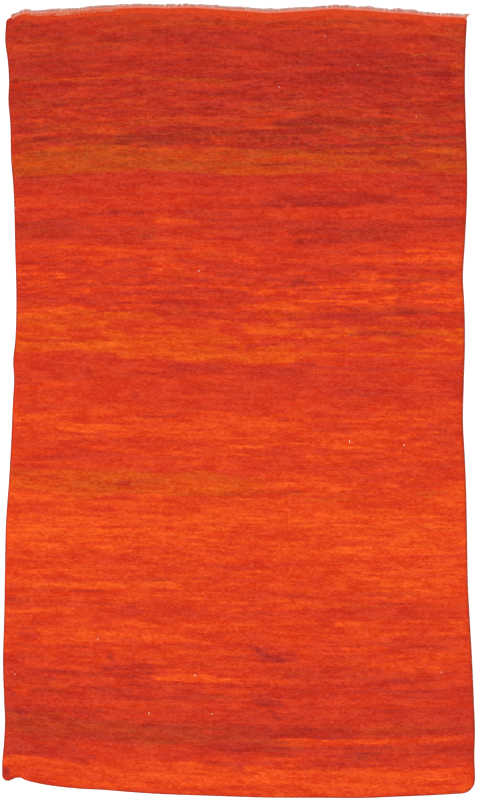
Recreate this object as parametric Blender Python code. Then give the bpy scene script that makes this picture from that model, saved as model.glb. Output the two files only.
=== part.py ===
# A hand-knotted wool rug laid flat on a floor, in two solids: the rug body, which is the knotted
# field with its short flat-woven end, and the twined strip with cut warp ends along that end.
# Metres, +Z up. X runs across the rug and +Y along it, towards the fringed end.
# The origin lies on the floor, under the middle of the rug. Tables are in millimetres.

import bmesh
import bpy
import math
import numpy as np

mm = 0.001

# Driving dimensions
rug_width = 1655 * mm  # over the widest part, near the lower end
rug_length = 2782 * mm  # over the fringe
pile_height = 13 * mm  # knots and ground together
flat_weave_width = 20 * mm
flat_weave_height = 5 * mm
twine_width = 7 * mm
twine_height = 4.6 * mm
twist_rise = 0.5 * mm  # how far each turn of the twining stands over or under the last
twist_sway = 0.7 * mm
lock_pitch = 8 * mm
lock_width = 0.72 * lock_pitch  # at its root
lock_length = 8.8 * mm
clearance = 0.3 * mm

# Grid of the body
columns_inside = 26
rows_inside = 72

# How far each side lies inside the box. Columns: distance up from the lower end, inset.
left_side = (
    (60, 2), (100, 0), (200, 7), (270, 10), (340, 7), (480, 3), (620, 7), (800, 10),
    (970, 14), (1110, 24), (1250, 32), (1390, 38), (1460, 42), (1530, 39), (1600, 46),
    (1740, 50), (1915, 46), (2160, 38), (2230, 32), (2370, 28), (2440, 22), (2510, 24),
    (2580, 20), (2650, 11), (2720, 14),
)
right_side = (
    (90, 0), (130, 2), (235, 0), (340, 4), (480, 10), (620, 18), (725, 24), (935, 28),
    (1110, 32), (1180, 35), (1320, 42), (1460, 39), (1600, 35), (1740, 38), (1810, 42),
    (1950, 35), (2100, 28), (2230, 28), (2335, 31), (2500, 35), (2650, 32), (2720, 28),
)

# How far each end lies inside the box. Columns: distance from the box's left side, inset.
lower_end = (
    (0, 62), (20, 60), (50, 70), (65, 70), (80, 63), (120, 52), (200, 39), (270, 32),
    (350, 28), (435, 21), (540, 14), (730, 7), (920, 1), (1100, 0), (1290, 0), (1360, 3),
    (1525, 10), (1610, 15), (1655, 17),
)
upper_end = (
    (14, 53), (35, 52), (75, 39), (120, 40), (160, 38), (200, 35), (265, 31), (330, 24),
    (400, 20), (500, 17), (580, 19), (645, 17), (730, 21), (810, 27), (875, 31), (920, 35),
    (1020, 31), (1125, 24), (1170, 21), (1210, 24), (1275, 27), (1360, 35), (1420, 38),
    (1485, 45), (1550, 49), (1610, 52), (1638, 53),
)

# The rim's section, from the outermost point in. Columns: distance in, share of pile_height.
side_rim = ((0, 0.28), (4, 0.74), (14, 0.97), (30, 1.0), (46, 1.0))
lower_rim = ((0, 0.28), (4, 0.74), (14, 0.97), (30, 1.0), (60, 1.0))
pile_front = ((5, 0.88), (16, 1.0))  # the same, past the flat-woven end
floor_tuck = 1.5 * mm  # how far the rim draws in where it meets the floor

# Corner radii in mm, and how far the lower left corner curls up
corner_radii = {"lower_left": 16, "lower_right": 46, "upper_left": 14, "upper_right": 8}
curl_lift = 5 * mm
curl_reach = 42 * mm

# A soft crease trodden into the pile. Lengths in mm, the turn in degrees.
crease = {"x": 130, "y": -893, "half_length": 100, "half_width": 34, "depth": 3.2, "turn": -24}

# Slow unevenness of the pile. Columns: height in mm, wavelengths across and along in mm, phase.
unevenness = (
    (0.55, 910, 333, 0.4), (0.45, 620, 187, 1.9), (0.40, 371, 121, 3.3),
    (0.35, 233, 88, 5.1), (0.35, 1470, 73, 2.4),
)

# Warp ends that reach further than the rest. Columns: distance from the left side, extra length.
long_tufts = (
    (90, 3), (833, 4), (938, 5), (1200, 2), (1288, 5), (1385, 4), (1437, 5), (1625, 2),
)
tuft_spread = 14
last_lock_lean = 6  # the last lock points away from the corner

# A lock's two lengths. Columns: share of its length, of its lean, width and height kept.
lock_lengths = ((0.55, 0.35, 0.86, 0.85), (0.45, 0.65, 0.30, 0.35))


def smooth_line(table, at):
    """Reads a two-column table in mm at the places in metres, along a smooth curve through its rows."""
    places, values = np.array(table, float).T * mm
    slopes = np.gradient(values, places)
    at = np.clip(at, places[0], places[-1])
    row = np.clip(np.searchsorted(places, at) - 1, 0, len(places) - 2)
    span = places[row + 1] - places[row]
    t = (at - places[row]) / span
    return (
        values[row] * (2 * t**3 - 3 * t**2 + 1)
        + slopes[row] * span * (t**3 - 2 * t**2 + t)
        + values[row + 1] * (3 * t**2 - 2 * t**3)
        + slopes[row + 1] * span * (t**3 - t**2)
    )


def left_x(y):
    return -rug_width / 2 + smooth_line(left_side, y + rug_length / 2)


def right_x(y):
    return rug_width / 2 - smooth_line(right_side, y + rug_length / 2)


def lower_y(x):
    return -rug_length / 2 + smooth_line(lower_end, x + rug_width / 2)


def upper_y(x):
    return rug_length / 2 - smooth_line(upper_end, x + rug_width / 2)


def stations(first_rim, inside, last_rim):
    """Places along one direction: each a share of the way and a distance to add, in metres."""
    first = [(0.0, row[0] * mm) for row in first_rim]
    last = [(1.0, -row[0] * mm) for row in reversed(last_rim)]
    between = [(k / inside, 0.0) for k in range(1, inside)]
    return np.array(first + between + last).T


def rounded_corners(x, y, from_left, from_right, from_low, from_high):
    """Draws the grid's four corners in, so that squares about a corner's centre become circles."""
    corners = (
        ("lower_left", from_left, from_low, 1, 1),
        ("lower_right", from_right, from_low, -1, 1),
        ("upper_left", from_left, from_high, 1, -1),
        ("upper_right", from_right, from_high, -1, -1),
    )
    for name, from_side, from_end, inward_x, inward_y in corners:
        radius = corner_radii[name] * mm
        a = np.clip(1 - from_side / radius, 0, 1)
        b = np.clip(1 - from_end / radius, 0, 1)
        length = np.hypot(a, b)
        draw = np.where(length > 0, np.maximum(a, b) / np.maximum(length, 1e-9), 1)
        x = x + inward_x * radius * a * (1 - draw)
        y = y + inward_y * radius * b * (1 - draw)
    return x, y


def woven_end_rim():
    """The rim's section at the fringed end: a flat-woven stretch, then the front of the pile."""
    flat = flat_weave_height / pile_height
    width = flat_weave_width / mm
    front = tuple((width + distance, share) for distance, share in pile_front)
    return ((0, 0.5 * flat), (2, flat), (width, flat)) + front


def body_grid():
    """The body's grid seen from above: x, y and each point's distance from the sides and ends."""
    share_x, add_x = stations(side_rim, columns_inside, side_rim)
    share_y, add_y = stations(lower_rim, rows_inside, woven_end_rim())
    share_x, share_y = np.meshgrid(share_x, share_y)
    add_x, add_y = np.meshgrid(add_x, add_y)
    x = (share_x - 0.5) * rug_width
    y = (share_y - 0.5) * rug_length
    for _ in range(6):
        low = lower_y(x)
        high = upper_y(x)
        y = low + share_y * (high - low) + add_y
        left = left_x(y)
        right = right_x(y)
        x = left + share_x * (right - left) + add_x
    from_left = share_x * (right - left) + add_x
    from_right = (1 - share_x) * (right - left) - add_x
    from_low = share_y * (high - low) + add_y
    from_high = (1 - share_y) * (high - low) - add_y
    x, y = rounded_corners(x, y, from_left, from_right, from_low, from_high)
    return x, y, np.minimum(from_left, from_right), from_low, from_high


def pile_lumps(x, y):
    """Low swells that run across the rug, as its rows of knots do."""
    height = np.zeros_like(x)
    for size, wave_x, wave_y, phase in unevenness:
        bend = 0.6 * np.sin(2 * math.pi * x / (wave_x * mm) + phase)
        height += size * mm * np.sin(2 * math.pi * y / (wave_y * mm) + bend + 2 * phase)
    return height


def crease_depth(x, y):
    turn = math.radians(crease["turn"])
    dx = x / mm - crease["x"]
    dy = y / mm - crease["y"]
    along = (dx * math.cos(turn) + dy * math.sin(turn)) / crease["half_length"]
    across = (dy * math.cos(turn) - dx * math.sin(turn)) / crease["half_width"]
    return crease["depth"] * mm * np.exp(-2 * (along**2 + across**2))


def corner_curl(x, y):
    """How far the lower left corner stands off the floor."""
    corner_x = x[0, 0]
    corner_y = y[0, 0]
    distance = np.hypot(x - corner_x, y - corner_y)
    near = np.clip(1 - distance / curl_reach, 0, 1)
    return curl_lift * near**2


def rim_share(rim, distance):
    places, shares = np.array(rim, float).T
    return np.interp(distance / mm, places, shares)


def body_points():
    """The upper and the lower face of the body, as two grids of points."""
    x, y, from_side, from_low, from_high = body_grid()
    sides = rim_share(side_rim, from_side)
    low = rim_share(lower_rim, from_low)
    high = rim_share(woven_end_rim(), from_high)
    cover = sides * low * high
    relief = (pile_lumps(x, y) - crease_depth(x, y)) * sides * low * high**2
    lift = corner_curl(x, y)
    upper = np.stack([x, y, pile_height * cover + relief + lift], axis=-1)
    lower = np.stack([x, y, lift], axis=-1)
    lower[0, :, 1] += floor_tuck
    lower[:, 0, 0] += floor_tuck
    lower[:, -1, 0] -= floor_tuck
    return upper, lower


def grid_faces(rows, columns, start, upward):
    faces = []
    for row in range(rows - 1):
        for column in range(columns - 1):
            a = start + row * columns + column
            face = (a, a + 1, a + columns + 1, a + columns)
            faces.append(face if upward else face[::-1])
    return faces


def rim_loop(rows, columns):
    """The grid's outermost points, once round from the lower left corner."""
    loop = list(range(columns))
    loop += [row * columns + columns - 1 for row in range(1, rows)]
    loop += [(rows - 1) * columns + column for column in range(columns - 2, -1, -1)]
    loop += [row * columns for row in range(rows - 2, 0, -1)]
    return loop


def material(name, color, roughness):
    made = bpy.data.materials.new(name)
    made.use_nodes = True
    shader = made.node_tree.nodes["Principled BSDF"]
    shader.inputs["Base Color"].default_value = (*color, 1)
    shader.inputs["Roughness"].default_value = roughness
    shader.inputs["Metallic"].default_value = 0
    return made


def new_object(name, mesh, finish):
    mesh.materials.append(finish)
    made = bpy.data.objects.new(name, mesh)
    bpy.context.scene.collection.objects.link(made)
    return made


def make_body():
    """The rug body: two grids joined round their rims, shaded smooth."""
    upper, lower = body_points()
    rows, columns = upper.shape[:2]
    count = rows * columns
    points = np.concatenate([upper.reshape(-1, 3), lower.reshape(-1, 3)])
    faces = grid_faces(rows, columns, 0, True) + grid_faces(rows, columns, count, False)
    loop = rim_loop(rows, columns)
    for a, b in zip(loop, loop[1:] + loop[:1]):
        faces.append((a, a + count, b + count, b))
    mesh = bpy.data.meshes.new("rug_body")
    mesh.from_pydata(points.tolist(), [], faces)
    mesh.shade_smooth()
    mesh.set_sharp_from_angle(angle=math.radians(50))
    new_object("rug_body", mesh, material("madder red wool pile", (0.68, 0.06, 0.02), 0.95))
    return upper[-1]


def lock_places(edge):
    """The middle of each lock along the woven edge, as x."""
    start = edge[1, 0] + 2 * lock_pitch
    end = edge[-2, 0] + lock_pitch / 4
    count = int((end - start) / lock_pitch) + 1
    return start + lock_pitch * np.arange(count)


def lock_reach(x):
    """Each lock's length and sideways lean. Slow waves keep neighbours nearly side by side."""
    from_left = x / mm + rug_width / mm / 2
    step = np.arange(len(x))
    length = lock_length / mm + 0.7 * np.sin(2.1 * step) + 0.6 * np.sin(0.37 * step + 1)
    for place, extra in long_tufts:
        length += extra * np.exp(-(((from_left - place) / tuft_spread) ** 2))
    lean = 1.5 * np.sin(0.23 * step) + 0.7 * np.sin(1.1 * step + 2)
    lean[-1] += last_lock_lean
    return length * mm, lean * mm


def twine_section(x, y, step):
    """One lock's share of the strip: its six points, from the woven edge outwards."""
    turn = math.cos(math.pi * step)
    ridge_y = y + twine_width / 2 + twist_sway * turn
    outer_y = y + twine_width
    return (
        (x, y, 0),
        (x, y, 0.55 * twine_height),
        (x, ridge_y, twine_height - twist_rise + twist_rise * turn),
        (x, outer_y, 0.6 * twine_height),
        (x - lock_width / 2, outer_y, 0),
        (x + lock_width / 2, outer_y, 0),
    )


def make_twine_strip(bm, xs, ys):
    """The strip's closed skin. It returns the small triangle that each lock grows from."""
    sections = [
        [bm.verts.new(point) for point in twine_section(x, y, step)]
        for step, (x, y) in enumerate(zip(xs, ys))
    ]
    roots = []
    for floor, inner, ridge, outer, root_left, root_right in sections:
        roots.append(bm.faces.new((root_right, root_left, outer)))
        bm.faces.new((floor, root_left, root_right))
    for first, second in zip(sections, sections[1:]):
        bm.faces.new((first[0], second[0], second[1], first[1]))
        bm.faces.new((first[1], second[1], second[2], first[2]))
        bm.faces.new((first[2], second[2], second[3], first[3]))
        bm.faces.new((first[3], second[3], second[4], first[5]))
        bm.faces.new((first[0], first[5], second[4], second[0]))
    first = sections[0]
    last = sections[-1]
    bm.faces.new((first[0], first[1], first[2], first[3], first[4]))
    bm.faces.new((last[0], last[5], last[3], last[2], last[1]))
    return roots


def grow_lock(bm, root, length, lean):
    """Extrudes a lock from its root in two lengths, narrowing, with its lower side on the floor."""
    face = root
    for share, lean_share, width, height in lock_lengths:
        face = bmesh.ops.extrude_discrete_faces(bm, faces=[face])["faces"][0]
        middle = sum(vert.co.x for vert in face.verts) / 3
        for vert in face.verts:
            vert.co.x = middle + (vert.co.x - middle) * width + lean * lean_share
            vert.co.y += length * share
            vert.co.z *= height


def make_fringe(edge):
    """The twined strip along the woven edge, with the cut warp ends fused into it."""
    xs = lock_places(edge)
    ys = np.interp(xs, edge[:, 0], edge[:, 1]) + clearance
    lengths, leans = lock_reach(xs)
    bm = bmesh.new()
    roots = make_twine_strip(bm, xs.tolist(), ys.tolist())
    bm.normal_update()
    for root, length, lean in zip(roots, lengths.tolist(), leans.tolist()):
        grow_lock(bm, root, length, lean)
    bmesh.ops.recalc_face_normals(bm, faces=bm.faces)
    mesh = bpy.data.meshes.new("twined_fringe")
    bm.to_mesh(mesh)
    bm.free()
    new_object("twined_fringe", mesh, material("salmon twined wool", (0.80, 0.22, 0.12), 0.9))


def main():
    for old in list(bpy.data.objects):
        bpy.data.objects.remove(old)
    edge = make_body()
    make_fringe(edge)


main()
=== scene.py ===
# A hand-knotted Moroccan wool rug, laid flat on a pale floor and seen from straight above.
# Metres, +Z up, +X across the rug, +Y along it to its fringed end. Tables are in millimetres, or in
# steps of one pixel of the photograph (3.5 mm) where a place was read off it.

import bpy
import math
import numpy as np
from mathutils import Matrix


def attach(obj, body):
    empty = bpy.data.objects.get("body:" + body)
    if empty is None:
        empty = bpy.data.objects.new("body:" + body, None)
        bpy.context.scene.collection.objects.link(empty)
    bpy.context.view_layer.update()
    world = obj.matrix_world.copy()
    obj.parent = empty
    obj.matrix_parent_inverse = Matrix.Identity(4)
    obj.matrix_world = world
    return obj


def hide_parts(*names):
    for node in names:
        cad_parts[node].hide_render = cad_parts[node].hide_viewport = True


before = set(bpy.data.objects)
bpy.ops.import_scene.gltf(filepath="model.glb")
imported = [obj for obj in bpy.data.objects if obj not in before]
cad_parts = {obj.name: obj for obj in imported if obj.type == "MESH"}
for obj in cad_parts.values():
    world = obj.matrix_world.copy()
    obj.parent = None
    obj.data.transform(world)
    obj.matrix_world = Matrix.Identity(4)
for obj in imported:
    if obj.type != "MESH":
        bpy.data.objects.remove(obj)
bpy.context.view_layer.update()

mm = 0.001
step = 3.5 * mm  # one pixel of the photograph on the rug
photoWidth, photoHeight = 477, 800
photoMiddle = (238.5, 400.5)  # where the origin lies in it

rug = {
    "width": 1655,
    "length": 2782,
    "pileHeight": 13,
    "curlLift": 5,  # how far the lower left corner stands off the floor
    "curlReach": 42,
}

# How far the edges lie inside the rug's box: distance along the edge, inset. Sides run up from the
# lower end, ends run from the left.
edges = {
    "left": (
        (60, 2), (100, 0), (200, 7), (270, 10), (340, 7), (480, 3), (620, 7), (800, 10),
        (970, 14), (1110, 24), (1250, 32), (1390, 38), (1460, 42), (1530, 39), (1600, 46),
        (1740, 50), (1915, 46), (2160, 38), (2230, 32), (2370, 28), (2440, 22), (2510, 24),
        (2580, 20), (2650, 11), (2720, 14),
    ),
    "right": (
        (90, 0), (130, 2), (235, 0), (340, 4), (480, 10), (620, 18), (725, 24), (935, 28),
        (1110, 32), (1180, 35), (1320, 42), (1460, 39), (1600, 35), (1740, 38), (1810, 42),
        (1950, 35), (2100, 28), (2230, 28), (2335, 31), (2500, 35), (2650, 32), (2720, 28),
    ),
    "lower": (
        (0, 62), (20, 60), (50, 70), (65, 70), (80, 63), (120, 52), (200, 39), (270, 32),
        (350, 28), (435, 21), (540, 14), (730, 7), (920, 1), (1100, 0), (1290, 0), (1360, 3),
        (1525, 10), (1610, 15), (1655, 17),
    ),
    "upper": (
        (14, 53), (35, 52), (75, 39), (120, 40), (160, 38), (200, 35), (265, 31), (330, 24),
        (400, 20), (500, 17), (580, 19), (645, 17), (730, 21), (810, 27), (875, 31), (920, 35),
        (1020, 31), (1125, 24), (1170, 21), (1210, 24), (1275, 27), (1360, 35), (1420, 38),
        (1485, 45), (1550, 49), (1610, 52), (1638, 53),
    ),
    "cornerRadii": {"lowerLeft": 16, "lowerRight": 46, "upperLeft": 14, "upperRight": 8},
}


# Reads a table of places and values along a smooth curve through its rows: a cubic between each two
# rows, with the table's own slopes at them.
def smoothLine(table, at):
    places, values = np.array(table, float).T * mm
    slopes = np.gradient(values, places)
    at = np.clip(at, places[0], places[-1])
    row = np.clip(np.searchsorted(places, at) - 1, 0, len(places) - 2)
    span = places[row + 1] - places[row]
    t = (at - places[row]) / span
    return (
        values[row] * (2 * t**3 - 3 * t**2 + 1)
        + slopes[row] * span * (t**3 - 2 * t**2 + t)
        + values[row + 1] * (3 * t**2 - 2 * t**3)
        + slopes[row + 1] * span * (t**3 - t**2)
    )


halfWidth = rug["width"] * mm / 2
halfLength = rug["length"] * mm / 2


# The four edges' lines: the box's side, drawn in by that edge's table.
def leftX(y):
    return -halfWidth + smoothLine(edges["left"], y + halfLength)


def rightX(y):
    return halfWidth - smoothLine(edges["right"], y + halfLength)


def lowerY(x):
    return -halfLength + smoothLine(edges["lower"], x + halfWidth)


def upperY(x):
    return halfLength - smoothLine(edges["upper"], x + halfWidth)


# Draws squares about each corner's centre in to circles: a point at shares a and b of the radius
# from the centre keeps max(a, b) as its distance.
def roundCorners(x, y, fromLeft, fromRight, fromLow, fromHigh):
    corners = (
        ("lowerLeft", fromLeft, fromLow, 1, 1),
        ("lowerRight", fromRight, fromLow, -1, 1),
        ("upperLeft", fromLeft, fromHigh, 1, -1),
        ("upperRight", fromRight, fromHigh, -1, -1),
    )
    for name, fromSide, fromEnd, inwardX, inwardY in corners:
        radius = edges["cornerRadii"][name] * mm
        a = np.clip(1 - fromSide / radius, 0, 1)
        b = np.clip(1 - fromEnd / radius, 0, 1)
        away = np.hypot(a, b)
        draw = np.where(away > 0, np.maximum(a, b) / np.maximum(away, 1e-9), 1)
        x = x + inwardX * radius * a * (1 - draw)
        y = y + inwardY * radius * b * (1 - draw)
    return x, y


# A place on the rug from shares of the way across and along, plus distances to add. It solves x for
# y and y for x in turn, because each edge wavers with the other.
def rugPlace(shareX, addX, shareY, addY, rounded=True):
    shareX, addX, shareY, addY = np.broadcast_arrays(shareX, addX, shareY, addY)
    x = (shareX - 0.5) * 2 * halfWidth
    y = (shareY - 0.5) * 2 * halfLength
    for _ in range(6):
        low, high = lowerY(x), upperY(x)
        y = low + shareY * (high - low) + addY
        left, right = leftX(y), rightX(y)
        x = left + shareX * (right - left) + addX
    reach = {
        "fromLeft": shareX * (right - left) + addX,
        "fromRight": (1 - shareX) * (right - left) - addX,
        "fromLow": shareY * (high - low) + addY,
        "fromHigh": (1 - shareY) * (high - low) - addY,
    }
    if rounded:
        x, y = roundCorners(x, y, **reach)
    return x, y, reach


relief = {
    # the pile's height near its rims: distance in, share of the full height
    "rim": ((0, 0.28), (4, 0.74), (14, 0.97), (30, 1.0)),
    "upper": ((0, 0.19), (2, 0.38), (17, 0.38), (26, 0.66), (38, 0.88), (54, 1.0)),
    # how far the feet lie under the tips: place from the top in steps of the photograph, depth
    "feet": ((0, 2.2), (140, 2.1), (240, 1.4), (800, 1.2)),
    "leastFeet": 0.45,  # they stand at least this share of the pile's height
    # slow swells: height, wavelengths across and along, phase
    "swells": (
        (0.55, 910, 333, 0.4), (0.45, 620, 187, 1.9), (0.40, 371, 121, 3.3),
        (0.35, 233, 88, 5.1), (0.35, 1470, 73, 2.4),
    ),
    # soft folds: place in the photograph, half length, half width, depth, turn, and how much painted shade
    # darkens the wool in them
    "folds": (
        (272, 652, 100, 36, 2.2, -22, 0.12), (258, 650, 50, 10, 0.5, -34, 0.36),
        (276, 658.5, 62, 9, 0.5, -14, 0.46), (262, 703, 46, 9, 0.4, -36, 0.20),
        (274, 713.5, 44, 9, 0.5, -42, 0.38), (241, 764, 95, 17, 0.6, 88, 0.09),
    ),
}


# The share of the full height at a distance in from a rim, in straight lines between the table's rows.
def rimShare(name, distance):
    places, shares = np.array(relief[name], float).T
    return np.interp(distance / mm, places, shares)


# Sum of sine swells across the rows, each bent a little by a slower sine along them.
def swellHeight(x, y):
    height = np.zeros_like(x)
    for size, waveX, waveY, phase in relief["swells"]:
        bend = 0.6 * np.sin(2 * math.pi * x / (waveX * mm) + phase)
        height += size * mm * np.sin(2 * math.pi * y / (waveY * mm) + bend + 2 * phase)
    return height


# Long bell-shaped troughs, turned across the rows: one bell for each fold.
def foldBells(x, y):
    for photoX, photoY, reachAlong, reachAcross, depth, turn, shade in relief["folds"]:
        turn = math.radians(turn)
        dx = (x / step - photoX + photoMiddle[0]) * step / mm
        dy = (y / step + photoY - photoMiddle[1]) * step / mm
        along = (dx * math.cos(turn) + dy * math.sin(turn)) / reachAlong
        across = (dy * math.cos(turn) - dx * math.sin(turn)) / reachAcross
        yield np.exp(-2 * (along**2 + across**2)), depth * mm, shade


# How deep the folds lie and how much painted shade darkens them at a place: each the sum over the bells.
def foldDepth(x, y):
    return sum(bell * depth for bell, depth, shade in foldBells(x, y))


def foldPaintedShade(x, y):
    return sum(bell * shade for bell, depth, shade in foldBells(x, y))


curlCorner = rugPlace(0.0, 0.0, 0.0, 0.0)[:2]


# The lower left corner lifts with the square of how near a point is to it.
def cornerLift(x, y):
    distance = np.hypot(x - curlCorner[0], y - curlCorner[1])
    near = np.clip(1 - distance / (rug["curlReach"] * mm), 0, 1)
    return rug["curlLift"] * mm * near**2


# Height of the clipped pile: full height times the rims' shares, plus swells, less the folds.
def pileTop(x, y, reach):
    side = rimShare("rim", np.minimum(reach["fromLeft"], reach["fromRight"]))
    low = rimShare("rim", reach["fromLow"])
    high = rimShare("upper", reach["fromHigh"])
    uneven = (swellHeight(x, y) - foldDepth(x, y)) * side * low * high**2
    return rug["pileHeight"] * mm * side * low * high + uneven


# The feet of the pile: a little under its tips, lowest where the furrows are deepest.
def groundTop(x, y, reach):
    places, depths = np.array(relief["feet"], float).T
    top = pileTop(x, y, reach)
    depth = np.interp(photoMiddle[1] - y / step, places, depths) * mm
    return np.maximum(top - depth, relief["leastFeet"] * top)


# the same random numbers in each run
lotteryCount = 65536
lottery = np.random.default_rng(41).random(lotteryCount)


# The fixed random number that belongs to a set of whole numbers: each times a large prime, summed,
# says which number of the lottery it is. The last of the set is mostly a salt, so that two uses differ.
def drawn(*numbers):
    mixed = 0
    for number, factor in zip(numbers, (7919, 104729, 1299709)):
        mixed = mixed + np.asarray(number, np.int64) * factor
    return lottery[mixed % lotteryCount]


# Runs of one yarn along a row: a random level that holds for about one length, then eases into the
# next over a third of a length, at a place of its own in each length.
def yarnRuns(x, row, length, salt):
    place = x / (length * mm) + 97.3 * drawn(row, salt)
    cell = np.floor(place).astype(np.int64)
    turn = 0.2 + 0.6 * drawn(cell, row, salt + 1)
    share = np.clip((place - cell - turn) / 0.38 + 0.5, 0, 1)
    share = share * share * (3 - 2 * share)
    return drawn(cell, row, salt + 2) * (1 - share) + drawn(cell + 1, row, salt + 2) * share


# Soft patches: random levels on a lattice, eased between its points both ways by 3f² − 2f³.
def softPatches(x, y, waveX, waveY, salt):
    u, v = x / (waveX * mm) + 50.3, y / (waveY * mm) + 80.7
    i, j = np.floor(u).astype(np.int64), np.floor(v).astype(np.int64)
    fx, fy = u - i, v - j
    fx, fy = fx * fx * (3 - 2 * fx), fy * fy * (3 - 2 * fy)
    low = drawn(i, j, salt) * (1 - fx) + drawn(i + 1, j, salt) * fx
    high = drawn(i, j + 1, salt) * (1 - fx) + drawn(i + 1, j + 1, salt) * fx
    return low * (1 - fy) + high * fy


knots = {
    "rowPitch": 9.1,
    "knotPitch": 6.5,
    "sideMargin": 7.0,  # the first knots stand this far in from the rug's edge
    "lowerMargin": 6.5,
    "upperMargin": 21,
    "endInsets": 45,  # what the two ends' insets take off the length, and the two sides' off the width
    "sideInsets": 60,
    "edgeFade": 36,  # how fast the ends' small bends die away among the rows
    "waverFade": 14,  # the wavers are full from this part of the length in
    "evening": 190,  # an end's small bends are evened out over this stretch to each side
    # rows are beaten in a little askew: place along the rug in steps of the photograph, then how
    # far a row there dips at the left and at the right
    "askew": (
        (0, 0, 0), (110, 1, -3), (175, 2.5, -6), (260, 1, -2), (355, -0.5, 1.5), (475, 5, 0),
        (600, 2, 0), (720, 0, 0), (800, 0, 0),
    ),
    "firstRow": 12,  # where the rows start in the photograph, and how far they run down it
    "rowsReach": 780,
    # rows waver as they are beaten in by hand: height, wavelengths along the row and across rows
    "waver": ((4.0, 260, 70), (2.2, 120, 38), (1.0, 48, 20)),
}


# An edge's line with its small bends evened out, as the mean over a stretch either side.
def evened(line, x):
    offsets = np.linspace(-knots["evening"], knots["evening"], 9) * mm
    return np.mean([line(x + offset) for offset in offsets], axis=0)


# How far a place is from each edge.
def reachOf(x, y):
    return {
        "fromLeft": x - leftX(y), "fromRight": rightX(y) - x,
        "fromLow": y - lowerY(x), "fromHigh": upperY(x) - y,
    }


# Each row lies an even share of the way between the two ends' evened lines. Near an end it follows
# that end's own bends, which fade with the distance from it. Askew rows and wavers are added.
def knotGrid():
    room = rug["length"] - knots["endInsets"] - knots["upperMargin"] - knots["lowerMargin"]
    rowCount = round(room / knots["rowPitch"])
    knotCount = round((rug["width"] - knots["sideInsets"]) / knots["knotPitch"])
    across = (np.arange(knotCount)[None, :] + 0.5) / knotCount
    along = 1 - (np.arange(rowCount)[:, None] + 0.5) / rowCount
    down = (1 - along) * knots["rowsReach"] + knots["firstRow"]
    places, dipLeft, dipRight = np.array(knots["askew"], float).T
    leftward = np.clip(1 - 2 * across, 0, 1) ** 1.5
    rightward = np.clip(2 * across - 1, 0, 1) ** 1.5
    dip = np.interp(down, places, dipLeft) * leftward + np.interp(down, places, dipRight) * rightward
    x, y = np.broadcast_arrays((across - 0.5) * 2 * halfWidth, (along - 0.5) * 2 * halfLength)
    inside = np.clip(np.minimum(along, 1 - along) * knots["waverFade"], 0, 1)
    waver = 0
    for number, (height, waveX, waveY) in enumerate(knots["waver"]):
        patches = softPatches(x, y, waveX, waveY, 700 + number)
        waver = waver + height * mm * 2 * (patches - 0.5) * inside
    fadeLow = np.exp(-along * rug["length"] / knots["edgeFade"])
    fadeHigh = np.exp(-(1 - along) * rug["length"] / knots["edgeFade"])
    for _ in range(6):
        lowEven, highEven = evened(lowerY, x), evened(upperY, x)
        bends = (lowerY(x) - lowEven) * fadeLow + (upperY(x) - highEven) * fadeHigh
        margin = knots["lowerMargin"] * mm * (1 - along) - knots["upperMargin"] * mm * along
        y = lowEven + along * (highEven - lowEven) + bends + margin - dip * step + waver
        left = leftX(y) + knots["sideMargin"] * mm
        right = rightX(y) - knots["sideMargin"] * mm
        x = left + across * (right - left)
    return x, y, reachOf(x, y)


knotX, knotY, knotReach = knotGrid()
rowCount, knotCount = knotX.shape
rowNumber, knotNumber = np.meshgrid(np.arange(rowCount), np.arange(knotCount), indexing="ij")
knotPhotoX = knotX / step + photoMiddle[0]
knotPhotoY = photoMiddle[1] - knotY / step
print("knots", rowCount, "rows of", knotCount)

# Each dye lot: how bright a red it is, from deep crimson 0 to flame 1, and how far it leans to gold.
dyeLots = {
    "deepCrimson": (0.10, 0.00),
    "crimson": (0.24, 0.00),
    "brick": (0.31, 0.10),
    "warmBrick": (0.42, 0.38),
    "brown": (0.17, 0.28),
    "greyBrown": (0.35, 0.30),
    "rustGold": (0.52, 1.00),
    "tomato": (0.45, 0.00),
    "poppy": (0.60, 0.05),
    "orange": (0.73, 0.12),
    "flame": (0.83, 0.12),
    "brightFlame": (0.92, 0.20),
    "goldOrange": (0.76, 0.75),
    "oliveGold": (0.71, 0.95),
}

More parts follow.
